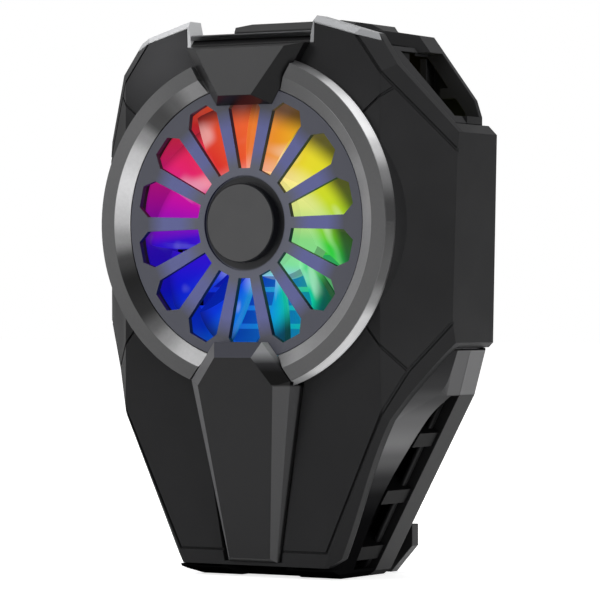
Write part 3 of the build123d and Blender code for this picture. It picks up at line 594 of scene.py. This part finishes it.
@dataclass(frozen=True)
class PaintedLampLight:
    """Coloured light of the lamp ring, painted as emission on the parts behind the grille: hues by
    degrees clockwise from the top.
    """

    centre: Point
    seam: Colour = srgb(227, 124, 43)
    hues: tuple[tuple[int, Colour], ...] = (
        (10, srgb(226, 146, 36)),
        (39, srgb(224, 210, 46)),
        (72, srgb(196, 210, 36)),
        (108, srgb(46, 190, 14)),
        (141, srgb(16, 196, 96)),
        (170, srgb(10, 160, 186)),
        (195, srgb(20, 112, 210)),
        (218, srgb(8, 54, 206)),
        (239, srgb(16, 22, 196)),
        (260, srgb(46, 14, 194)),
        (281, srgb(182, 16, 160)),
        (301, srgb(222, 34, 104)),
        (322, srgb(214, 50, 40)),
        (345, srgb(228, 98, 50)),
    )

    def cast(self, sheet: Sheet) -> tuple[Socket, Socket]:
        """Add the light's hue to a sheet.

        Args:
            sheet: The material's sheet.

        Returns:
            The radius from the light's centre and the hue.
        """
        radius, turn = sheet.around(self.centre)
        wheel = [(degrees / 360, hue) for degrees, hue in self.hues]
        return radius, sheet.ramp(turn, [(0.0, self.seam), *wheel, (1.0, self.seam)], False)


@dataclass(frozen=True)
class GlowPaintedPlastic(Finish):
    """Frosted plastic that glows in the lamps' colours, painted as emission, with painted sheens
    and a painted shade towards its outer edge.
    """

    light: PaintedLampLight
    strength: float
    # Strength of the painted sheens.
    pale: float = 0.4
    fall: Range = (15.7 * MM, 19.6 * MM)
    # A painted highlight near the hub, fading out between these radii.
    root: Range = (8.5 * MM, 12 * MM)
    root_sheen: float = 0.3
    # Depth, colour and centre of the painted shade towards the outer edge.
    painted_shade_depth: float = 0.9
    dark: Colour = (0.004, 0.004, 0.012)
    shade: Point = (-3.5 * MM, -29 * MM, 12 * MM)

    def paint(self, sheet: Sheet) -> None:
        """Lay the plastic on a sheet.

        Args:
            sheet: The material's sheet.
        """
        radius, hue = self.light.cast(sheet)
        # Painted highlights: sheens from noise and near the hub.
        sheen = sheet.span(sheet.noise(7 * MM, 1.0, (1.0, 0.3, 1.0)), 0.56, 0.72, 0.0, self.pale)
        root = sheet.span(radius, *self.root, self.root_sheen, 0.0)
        tint = sheet.blend(0.3, WHITE, hue)
        lit = sheet.blend(sheet.math("MAXIMUM", sheen, root), hue, tint)
        # Painted shade: the emission fades towards the outer edge, round a centre moved off the
        # axis.
        outer = sheet.span(sheet.around(self.shade)[0], *self.fall)
        sheet.surface(
            Base_Color=sheet.blend(0.9, hue, BLACK),
            Emission_Color=sheet.blend(sheet.math("MULTIPLY", outer, self.painted_shade_depth), lit, self.dark),
            Emission_Strength=self.strength,
            Roughness=0.3,
            Specular_IOR_Level=0.3,
        )
        sheet.grain(Grain.FROST)


@dataclass(frozen=True)
class GlowPaintedMetal(Finish):
    """Bare fins with the lamps' colours painted on as emission inside the fan's opening."""

    light: PaintedLampLight
    colour: Colour
    strength: float
    axis: Point
    front: float
    opening: float = 26.5 * MM
    fade: float = 2 * MM
    depths: Range = (3 * MM, 10 * MM)
    line_shade: float = 0.86

    def paint(self, sheet: Sheet) -> None:
        """Lay the metal on a sheet.

        Args:
            sheet: The material's sheet.
        """
        _, hue = self.light.cast(sheet)
        radius, _ = sheet.around(self.axis)
        drawn = sheet.drawn(Lines.ACROSS_Y)
        first, last = (self.front + depth for depth in self.depths)
        # Painted light: the fins emit the lamps' hues near their front and inside the opening.
        near = sheet.span(sheet.along("Y"), first, last, 1.0, 0.0)
        within = sheet.span(radius, self.opening - self.fade, self.opening, self.strength, 0.0)
        sheet.surface(
            Base_Color=sheet.blend(drawn, scaled(self.colour, self.line_shade), self.colour),
            Metallic=1.0,
            Roughness=sheet.span(drawn, 0.2, 0.8, 0.32, 0.44),
            Emission_Color=hue,
            Emission_Strength=sheet.math("MULTIPLY", within, near),
        )


@dataclass(frozen=True)
class PaintedShadePanel(Finish):
    """Plate whose bevels are painted lighter or darker than its face by the way that they point, as
    painted light and shade.

    The right bevels follow the stops of a ramp, which runs from the low to the high height.
    """

    face: Colour
    left: Colour
    right: Stops
    painted_top_shading: Colour
    painted_under_shading: Colour
    low: float
    high: float
    specular: float = 0.15

    def paint(self, sheet: Sheet) -> None:
        """Lay the plastic on a sheet.

        Args:
            sheet: The material's sheet.
        """
        across, up = sheet.facing("X"), sheet.facing("Z")
        share = sheet.node(
            "MapRange", Value=sheet.along("Z"), From_Min=self.low, From_Max=self.high
        )
        right = sheet.ramp(share.outputs["Result"], self.right, False)
        colour = sheet.clouded(self.face, 0.08)
        # Blend in each bevel's painted light and shade by the way it points.
        for where, bevel in (
            (sheet.span(up, 0.35, 0.5), self.painted_top_shading),
            (sheet.span(up, -0.5, -0.35, 1.0, 0.0), self.painted_under_shading),
            (sheet.span(across, -0.4, -0.25, 1.0, 0.0), self.left),
            (sheet.span(across, 0.22, 0.34), right),
        ):
            colour = sheet.blend(where, colour, bevel)
        sheet.surface(Base_Color=colour, Roughness=0.38, Specular_IOR_Level=self.specular)
        sheet.grain(Grain.SATIN, 0.15 * MM)


@dataclass(frozen=True)
class FramePlastic(Finish):
    """Satin plastic whose side flats under the waist carry a painted highlight and whose foot is
    painted in steps of grey as painted light and shade.

    The shading stops hold shares of the foot's height, each with a level from 0 to 255.
    """

    colour: Colour
    painted_shading_levels: tuple[tuple[float, int], ...]
    painted_flat_highlight: Colour = srgb(130, 130, 131)
    specular: float = 0.0
    foot: Range = (-45 * MM, -7 * MM)
    flat_edge: Range = (-16 * MM, -15 * MM)

    def paint(self, sheet: Sheet) -> None:
        """Lay the plastic on a sheet.

        Args:
            sheet: The material's sheet.
        """
        height = sheet.along("Z")
        stops = [(place, grey(level)) for place, level in self.painted_shading_levels]
        # Painted light and shade in steps of grey along the foot's height.
        painted_strip = sheet.ramp(sheet.span(height, *self.foot), stops)
        low = sheet.span(height, self.foot[1] - 1 * MM, self.foot[1], 1.0, 0.0)
        colour = sheet.blend(low, sheet.clouded(self.colour, 0.08), painted_strip)
        # Painted highlight on the side flats under the waist.
        side = sheet.span(sheet.math("ABSOLUTE", sheet.facing("X")), 0.88, 0.94)
        raised = sheet.span(height, *self.flat_edge)
        highlight_mask = sheet.math("MULTIPLY", sheet.math("MULTIPLY", side, low), raised)
        sheet.surface(
            Base_Color=sheet.blend(highlight_mask, colour, self.painted_flat_highlight),
            Roughness=sheet.span(sheet.facing("Z"), -0.9, -0.5, 1.0, 0.45),
            Specular_IOR_Level=self.specular,
        )
        sheet.grain(Grain.SATIN, 0.2 * MM)


@dataclass(frozen=True)
class CapPlastic(Finish):
    """Satin face of the hub cap with its side painted near black as painted shade."""

    centre: Point
    face: Colour
    side: Colour
    radius: float
    blur: float = 0.03 * MM

    def paint(self, sheet: Sheet) -> None:
        """Lay the plastic on a sheet.

        Args:
            sheet: The material's sheet.
        """
        radius, _ = sheet.around(self.centre)
        # Painted shade on the cap's side.
        outside = sheet.span(radius, self.radius - self.blur, self.radius + self.blur)
        colour = sheet.blend(outside, sheet.clouded(self.face, 0.07, 4 * MM), self.side)
        sheet.surface(Base_Color=colour, Roughness=0.45, Specular_IOR_Level=0.15)
        sheet.grain(Grain.SATIN, 0.08 * MM)


@dataclass(frozen=True)
class TrimPlating(Finish):
    """Satin plating, painted brighter on its left half as painted light, that is masked dark
    between the notch's sides.
    """

    left: Colour
    right: Colour
    masked: Colour
    mask_half: float
    blur: float = 0.02 * MM

    def paint(self, sheet: Sheet) -> None:
        """Lay the plating on a sheet.

        Args:
            sheet: The material's sheet.
        """
        across = sheet.along("X")
        start, end = self.mask_half - self.blur, self.mask_half + self.blur
        bare = sheet.span(sheet.math("ABSOLUTE", across), start, end)
        drawn = sheet.drawn(Lines.ACROSS_Z)
        # Painted light: the left half is lighter than the right.
        plated = sheet.blend(sheet.span(across, -2 * MM, 2 * MM), self.left, self.right)
        plated = sheet.blend(sheet.math("MULTIPLY", drawn, 0.2), plated, BLACK)
        sheet.surface(
            Base_Color=sheet.blend(bare, self.masked, plated),
            Metallic=sheet.span(bare, 0.0, 1.0, 0.0, 0.25),
            Roughness=sheet.span(drawn, 0.2, 0.8, 0.36, 0.48),
            Specular_IOR_Level=0.2,
        )


@dataclass(frozen=True)
class CircuitBoard(Finish):
    """Printed board with a green lacquer over fine tracks."""

    lacquer: Colour = srgb(14, 70, 38)
    track: Colour = srgb(34, 110, 62)
    pitch: float = 4 * MM

    def paint(self, sheet: Sheet) -> None:
        """Lay the lacquer on a sheet.

        Args:
            sheet: The material's sheet.
        """
        brick = sheet.node(
            "TexBrick",
            Vector=sheet.place,
            Color1=self.lacquer,
            Color2=self.lacquer,
            Mortar=self.track,
            Scale=1 / self.pitch,
        )
        sheet.surface(Base_Color=brick.outputs["Color"], Roughness=0.3)
        sheet.relief(brick.outputs["Fac"], 0.01 * MM)


def grid_mesh(name: str, points: np.ndarray, closed_rows: bool = False) -> bpy.types.Object:
    """Make a mesh object from a grid of points.

    Args:
        name: Name of the object.
        points: Array of rows by columns by 3, in metres.
        closed_rows: Join the last column to the first.

    Returns:
        The object, already in the scene.
    """
    rows, columns, _ = points.shape
    index = np.arange(rows * columns).reshape(rows, columns)
    left, right = index, np.roll(index, -1, axis=1)
    if not closed_rows:
        left, right = left[:, :-1], right[:, :-1]
    quads = np.stack([left[:-1], right[:-1], right[1:], left[1:]], axis=-1).reshape(-1, 4)
    mesh = bpy.data.meshes.new(name)
    mesh.vertices.add(rows * columns)
    mesh.vertices.foreach_set("co", points.reshape(-1).astype(np.float32))
    mesh.loops.add(quads.size)
    mesh.loops.foreach_set("vertex_index", quads.reshape(-1).astype(np.int32))
    mesh.polygons.add(len(quads))
    mesh.polygons.foreach_set("loop_start", np.arange(0, quads.size, 4, dtype=np.int32))
    mesh.update(calc_edges=True)
    mesh.validate()
    mesh.shade_smooth()
    piece = bpy.data.objects.new(name, mesh)
    bpy.context.scene.collection.objects.link(piece)
    return piece


def finish_piece(
    piece: bpy.types.Object, material: bpy.types.Material, body: Body
) -> None:
    """Dress a new piece and let it ride on a body.

    Args:
        piece: The piece.
        material: Its material.
        body: The body that it rides on.
    """
    piece.data.materials.clear()
    piece.data.materials.append(material)
    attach(piece, body.value)
    LOG.info("made %s on %s", piece.name, body.value)


@dataclass(frozen=True)
class PanHead:
    """Shape of a pan head with a cross recess."""

    radius: float = 1.9 * MM
    rise: float = 0.7 * MM
    dome: Range = (1.15, 0.9)
    cross_half: float = 0.28 * MM
    cross_reach: float = 1.25 * MM
    cross_depth: float = 0.5 * MM
    wall_slope: float = 0.1 * MM
    end_slope: float = 0.3 * MM
    sunk: float = 0.2 * MM
    rings: int = 22
    spokes: int = 72

    def points(self, across: float, depth: float, height: float) -> np.ndarray:
        """Work out the head's surface.

        The head is a height over a disc of rings and spokes: a flattened dome, less a cross whose
        depth fades towards its four ends. The last ring drops into the cover.

        Args:
            across: X of its centre.
            depth: Y of the face that it sits on.
            height: Z of its centre.

        Returns:
            Grid of points, rings by spokes.
        """
        share = np.concatenate([np.linspace(0.02, 1, self.rings), [1.0]])[:, None]
        radius = self.radius * share
        angle = np.linspace(0, 2 * np.pi, self.spokes, endpoint=False)[None, :]
        x, z = radius * np.cos(angle), radius * np.sin(angle)
        level, fall = self.dome
        rise = self.rise * np.sqrt(np.clip(level - share**2 * fall, 0, 1)) + 0 * angle
        arm, reach = np.minimum(np.abs(x), np.abs(z)), np.maximum(np.abs(x), np.abs(z))
        wall = np.clip((self.cross_half - arm) / self.wall_slope, 0, 1)
        end = np.clip((self.cross_reach - reach) / self.end_slope, 0, 1)
        y = rise - self.cross_depth * wall * end
        y[-1] = -self.sunk
        return np.stack([across + x, depth + y, height + z], axis=-1)


@dataclass
class SubAssembly:
    """A group of the cooler's parts that came from the frame."""

    nodes: dict[str, bpy.types.Object]
    fan_axis: Point = (0.0, -29 * MM, 12 * MM)

    def dress(self, finishes: dict[str, bpy.types.Material]) -> None:
        """Give parts of the frame their finishes.

        Args:
            finishes: The nodes' names with their materials.
        """
        for name, material in finishes.items():
            part = self.nodes[name]
            part.data.materials.clear()
            part.data.materials.append(material)
            LOG.info("dressed %s with %s", name, material.name)


@dataclass
class Housing(SubAssembly):
    """Front cover, mid frame, rear cover, louvres and trims."""

    screw_places: tuple[Range, ...] = ((23 * MM, 27 * MM), (22 * MM, -19 * MM))
    screw_face: float = -2.0 * MM
    notch_half: float = 11.28 * MM
    notch_floor: float = 41.6 * MM
    rail_height: float = 0.75 * MM
    rail_depth: float = 2.4 * MM
    rail_bevel: float = 0.2 * MM
    parting_depth: float = -12.2 * MM
    lip_half: Range = (0.35 * MM, 0.6 * MM)
    lip_power: int = 6
    lip_top: Range = (27.6 * MM, -15.6 * MM)
    lip_foot: Range = (12.9 * MM, -43.6 * MM)

    def build(self) -> None:
        """Dress the mouldings and add the notch rail, the parting lips and the rear screws."""
        # The rear cover's foot is painted one darker grey as painted shade, and its side flats
        # carry the painted highlight.
        rear = FramePlastic("rear_plastic", grey(42), ((0.0, 26), (1.0, 26)), specular=0.12).make()
        self.dress_shells(rear)
        self.dress_plates()
        rail = Metal("rail_satin", srgb(122, 123, 125), 0.42).make()
        finish_piece(self.notch_rail(), rail, Body.HOUSING)
        sides = ((1, "right"), (-1, "left"))
        for side, word in sides:
            lip = self.parting_lip(f"parting_lip_{word}", side)
            finish_piece(lip, rear, Body.HOUSING)
        steel = Metal("screw_steel", srgb(150, 150, 152), 0.3).make()
        for index, (across, height) in enumerate(self.screw_places, 1):
            for side, word in sides:
                points = PanHead().points(side * across, self.screw_face, height)
                screw = grid_mesh(f"rear_screw_{index}_{word}", points, True)
                finish_piece(screw, steel, Body.HOUSING)

    def dress_shells(self, rear: bpy.types.Material) -> None:
        """Dress the front cover, the mid frame and the rear cover.

        Args:
            rear: Plastic of the rear cover.
        """
        # The shell carries a painted highlight near its upper left.
        shell = Moulded(
            "shell_plastic", grey(40), 0.5, specular=0.1, highlight_spot=(-16 * MM, 0.0, 38 * MM)
        )
        # Painted light and shade of the frame's band, by height.
        painted_strip = (
            (0.0, 20), (0.16, 22), (0.29, 40), (0.39, 70), (0.53, 124),
            (0.63, 158), (0.76, 138), (0.87, 98), (0.92, 76), (1.0, 62),
        )
        frame = FramePlastic("frame_plastic", grey(62), painted_strip)
        self.dress({"front_cover": shell.make(), "mid_frame": frame.make(), "rear_cover": rear})

    def dress_plates(self) -> None:
        """Dress the louvres, the brow, the chin and the top trim."""
        # Slat tops are painted lighter and their undersides near black: painted light and painted
        # shade.
        slats = PaintedShadePanel(
            name="slat_plastic",
            face=grey(10),
            left=grey(10),
            right=[(0.0, grey(10)), (1.0, grey(10))],
            painted_top_shading=grey(62),
            painted_under_shading=srgb(3, 3, 3),
            low=-42 * MM,
            high=0.0,
            specular=0.03,
        ).make()
        # The brow's top, right and under bevels are painted dark as painted shade.
        brow = PaintedShadePanel(
            name="brow_plastic",
            face=grey(62),
            left=grey(48),
            right=[(0.0, srgb(10, 10, 12)), (1.0, grey(14))],
            painted_top_shading=grey(20),
            painted_under_shading=srgb(5, 5, 12),
            low=27 * MM,
            high=41 * MM,
        ).make()
        # The chin's right bevel is painted by height: a painted highlight over most of its height,
        # a painted shade band near the top, then lighter again at the top.
        painted_glint = [
            (0.0, grey(92)),
            (0.835, grey(92)),
            (0.845, srgb(2, 2, 2)),
            (0.905, srgb(3, 3, 3)),
            (0.945, srgb(44, 44, 46)),
            (0.975, srgb(118, 119, 121)),
            (1.0, srgb(150, 151, 153)),
        ]
        # The chin's left bevel is painted lighter as painted light.
        chin = PaintedShadePanel(
            name="chin_plastic",
            face=grey(39),
            left=srgb(112, 112, 114),
            right=painted_glint,
            painted_top_shading=srgb(62, 63, 72),
            painted_under_shading=grey(12),
            low=-42 * MM,
            high=-8.4 * MM,
        ).make()
        trim = TrimPlating(
            name="trim_satin",
            left=srgb(224, 225, 227),
            right=srgb(158, 159, 161),
            masked=grey(34),
            mask_half=11.25 * MM,
        ).make()
        self.dress({"louvres_right": slats, "louvres_left": slats})
        self.dress({"brow_plate": brow, "chin_plate": chin, "top_trim": trim})

    def parting_lip(self, name: str, side: int) -> bpy.types.Object:
        """Make the lip that closes the parting line between mid frame and rear cover.

        The lip is a rounded rectangle in X and Y, the circle of a high power, carried down the
        taper on a straight line and closed by a pole at each end.

        Args:
            name: Name of the piece.
            side: 1 for the right, -1 for the left.

        Returns:
            The lip.
        """
        angle = np.linspace(0, 2 * np.pi, 24, endpoint=False)
        circle = np.stack([np.cos(angle), np.sin(angle)], axis=1)
        reach = (np.abs(circle) ** self.lip_power).sum(axis=1, keepdims=True)
        profile = circle * reach ** (-1 / self.lip_power) * self.lip_half
        share = np.array([0.0, 0.0, 0.33, 0.67, 1.0, 1.0])
        shrink = np.array([0.0, 1.0, 1.0, 1.0, 1.0, 0.0])[:, None]
        (top_x, top_z), (foot_x, foot_z) = self.lip_top, self.lip_foot
        x = (top_x + share * (foot_x - top_x))[:, None] + shrink * profile[:, 0]
        y = self.parting_depth + shrink * profile[:, 1]
        z = (top_z + share * (foot_z - top_z))[:, None] + 0 * x
        return grid_mesh(name, np.stack([side * x, y, z], axis=-1)[:: -side], True)

    def notch_rail(self) -> bpy.types.Object:
        """Make the thin plated rail on the notch's floor, between the trim's two peaks.

        The rail is a five-cornered profile with a bevelled front edge, carried along X and closed
        by a pole at each end.

        Returns:
            The rail.
        """
        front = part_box("top_trim")[0][1] + 0.02 * MM
        low, high = self.notch_floor - 0.05 * MM, self.notch_floor + self.rail_height
        back, bevel = front + self.rail_depth, self.rail_bevel
        profile = np.array(
            [(front, low), (front, high - bevel), (front + bevel, high), (back, high), (back, low)]
        )
        profile = np.repeat(profile, 2, axis=0)
        across = self.notch_half * np.array([-1.0, -1.0, -1.0, 1.0, 1.0, 1.0])[:, None, None]
        shrink = np.array([0.0, 1.0, 1.0, 1.0, 1.0, 0.0])[:, None, None]
        middle = profile.mean(axis=0)
        ring = middle + shrink * (profile - middle)
        points = np.concatenate([np.broadcast_to(across, ring.shape[:2] + (1,)), ring], axis=2)
        return grid_mesh("notch_rail", points, True)


@dataclass
class FanUnit(SubAssembly):
    """Ring, grille, hub cap, rotor, duct, motor and light ring."""

    cap_radius: float = 6.12 * MM
    dish_radius: float = 24.25 * MM
    rim_radius: float = 26.69 * MM
    grille_radii: Point = (7.57 * MM, 8.75 * MM, 20.25 * MM)
    duct_shade_fall: Range = (22 * MM, 24 * MM)

    def build(self) -> None:
        """Dress the ring, the grille and everything behind it."""
        axis = self.fan_axis
        light = PaintedLampLight(axis)
        board = CircuitBoard("board_lacquer").make()
        finishes = {
            "bezel_ring": RingPlating("ring_plating", axis, self.dish_radius, self.rim_radius),
            "fan_grille": GrillePlastic("grille_plastic", axis, *self.grille_radii),
            "hub_cap": CapPlastic("cap_plastic", axis, grey(91), srgb(14, 15, 19), self.cap_radius),
            # Blades and duct emit the lamps' hues as painted light, fading at the outer edge as
            # painted shade.
            "fan_rotor": GlowPaintedPlastic("blade_glow", light, 1.0),
            "fan_duct": GlowPaintedPlastic("duct_glow", light, 0.55, 0.2, self.duct_shade_fall),
            "rotor_shaft": Metal("ground_steel", srgb(176, 177, 180), 0.25),
            "bearing_sleeve": Metal("sleeve_brass", srgb(196, 160, 90), 0.3),
            "rotor_magnet": Metal("magnet_ferrite", srgb(60, 60, 62), 0.5),
            "stator": Metal("winding_copper", srgb(176, 98, 58), 0.35),
        }
        self.dress({name: finish.make() for name, finish in finishes.items()})
        self.dress({"motor_board": board, "light_board": board})
        lamp = Moulded("lamp_resin", srgb(235, 235, 230), 0.2, Grain.SATIN).make()
        self.dress({name: lamp for name in sorted(self.nodes) if name.startswith("lamp_")})


@dataclass
class ColdStack(SubAssembly):
    """Heat sink, thermoelectric element, cold plate and pad."""

    # The painted lamp light on the fins takes its hues round a centre moved off the fan's axis.
    light_shift: float = -3.7 * MM

    def build(self) -> None:
        """Dress the stack from the fins to the pad."""
        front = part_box("heat_sink")[0][1]
        light = PaintedLampLight((self.light_shift, *self.fan_axis[1:]))
        ceramic = Moulded("element_ceramic", srgb(232, 232, 228), 0.5, Grain.CERAMIC).make()
        aluminium, sink = srgb(196, 198, 201), srgb(150, 152, 156)
        finishes = {
            "heat_sink": GlowPaintedMetal("fin_aluminium", light, sink, 0.8, self.fan_axis, front),
            "cold_plate": Metal("plate_aluminium", aluminium, 0.32, Lines.ACROSS_X),
            "element_core": Moulded("element_core", srgb(120, 120, 124), 0.5, Grain.CERAMIC),
            "foam_gasket": Moulded("gasket_foam", srgb(28, 28, 28), 0.85, Grain.FOAM),
            "cold_pad": Moulded(
                "pad_silicone", srgb(92, 95, 100), 0.6, Grain.CERAMIC, edge=0.1 * MM
            ),
        }
        self.dress({name: finish.make() for name, finish in finishes.items()})
        self.dress({"element_hot_plate": ceramic, "element_cold_plate": ceramic})


@dataclass
class Clamp(SubAssembly):
    """Sliding upper claw, fixed lower claw, their pads and the springs."""

    def build(self) -> None:
        """Dress the claws, pads and springs."""
        claw = Moulded("claw_plastic", grey(32), 0.45).make()
        rubber = Moulded("jaw_rubber", grey(24), 0.75, Grain.FOAM, specular=0.3).make()
        spring = Metal("spring_steel", srgb(168, 168, 170), 0.25).make()
        self.dress({"upper_claw": claw, "lower_claw": claw})
        self.dress({"upper_jaw_pad": rubber, "lower_jaw_pad": rubber})
        self.dress({"clamp_spring_right": spring, "clamp_spring_left": spring})


@dataclass
class PowerInlet(SubAssembly):
    """Socket in the underside and the board behind it."""

    def build(self) -> None:
        """Dress the socket and its board."""
        steel = Metal("socket_steel", srgb(186, 187, 190), 0.28).make()
        self.dress({"power_socket": steel, "control_board": CircuitBoard("control_lacquer").make()})


def aim(thing: bpy.types.Object, place: Point, target: Point) -> None:
    """Bring a camera or light into the scene and point it at a target.

    Args:
        thing: The camera or light.
        place: Where it goes.
        target: What it looks at.
    """
    bpy.context.scene.collection.objects.link(thing)
    along = np.array(target) - np.array(place)
    along = along / np.linalg.norm(along)
    turn = math.atan2(along[1], along[0]) - math.pi / 2
    thing.location = place
    thing.rotation_euler = (math.acos(-along[2]), 0.0, turn)


@dataclass(frozen=True)
class SoftLight:
    """Square soft light: its place, the side of its square in metres and its watts."""

    name: str
    place: Point
    size: float
    power: float
    target: Point = (0.0, -0.02, 0.0)

    def build(self) -> None:
        """Add the light, facing the cooler."""
        data = bpy.data.lights.new(self.name, "AREA")
        data.size = self.size
        data.energy = self.power
        aim(bpy.data.objects.new(self.name, data), self.place, self.target)


@dataclass
class Studio:
    """Pale floor, soft lights and the camera."""

    floor_height: float = -44.6 * MM
    floor_half: float = 3.0
    floor_levels: Range = (0.22, 0.9)
    floor_glow: float = 0.75
    room_level: float = 0.42
    sky_foot: float = 0.16
    sky_rise: Range = (0.1, 0.85)
    camera_place: Point = (0.3033, -0.5020, -0.0010)
    camera_aim: Point = (0.00789, -0.02360, -0.00023)
    lens: float = 212.45
    lights: tuple[SoftLight, ...] = (
        SoftLight("key_left", (-0.55, -0.75, 0.55), 0.5, 4.0),
        SoftLight("fill_right", (0.95, -0.35, -0.02), 0.35, 4.6),
        SoftLight("top_soft", (0.05, 0.1, 0.9), 0.5, 4.4),
    )

    def build(self) -> None:
        """Set up the world, floor, lights and camera."""
        self.set_world()
        self.set_floor()
        for light in self.lights:
            light.build()
        self.set_camera()

    def set_world(self) -> None:
        """Light all round with soft grey, show white to the camera and a grey ramp in gloss."""
        world = bpy.data.worlds.new("studio_world")
        bpy.context.scene.world = world
        world.use_nodes = True
        sheet = NodeSheet(world.node_tree)
        up = sheet.node("SeparateXYZ", Vector=sheet.node("TexCoord").outputs["Generated"])
        low, high = self.sky_rise
        stops = [(low, scaled(WHITE, self.sky_foot)), (high, WHITE)]
        sky = sheet.ramp(up.outputs["Z"], stops, False)
        camera, gloss = sheet.rays()
        colour = sheet.blend(gloss, scaled(WHITE, self.room_level), sky)
        shine = sheet.node("Background", Color=sheet.blend(camera, colour, WHITE))
        sheet.node("OutputWorld", Surface=shine.outputs["Background"])

    def set_floor(self) -> None:
        """Lay a pale floor that keeps the object's soft shadow."""
        side = np.linspace(-self.floor_half, self.floor_half, 4)
        x, y = np.meshgrid(side, side)
        points = np.stack([x, y, np.full_like(x, self.floor_height)], axis=-1)
        floor = grid_mesh("studio_floor", points)
        sheet = Sheet("floor_paper")
        seen = sheet.math("MAXIMUM", *sheet.rays())
        unseen_level, seen_level = self.floor_levels
        sheet.surface(
            Base_Color=sheet.blend(seen, scaled(WHITE, unseen_level), scaled(WHITE, seen_level)),
            Emission_Color=WHITE,
            Emission_Strength=sheet.math("MULTIPLY", seen, self.floor_glow),
            Roughness=0.9,
            Specular_IOR_Level=0.0,
        )
        floor.data.materials.append(sheet.material)

    def set_camera(self) -> None:
        """Place the camera at the viewing angle."""
        data = bpy.data.cameras.new("view_camera")
        data.lens = self.lens
        data.sensor_width = 36.0
        data.clip_start = 0.01
        camera = bpy.data.objects.new("view_camera", data)
        aim(camera, self.camera_place, self.camera_aim)
        bpy.context.scene.camera = camera


def main() -> None:
    """Load the frame, dress every sub-assembly and set up the studio."""
    logging.basicConfig(level=logging.INFO, format="%(name)s %(message)s")
    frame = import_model()
    nodes = frame["nodes"]
    for group in (Housing, FanUnit, ColdStack, Clamp, PowerInlet):
        group(nodes).build()
        LOG.info("built %s", group.__name__)
    Studio().build()
    bpy.context.scene.view_settings.view_transform = "Standard"


if __name__ == "__main__":
    main()
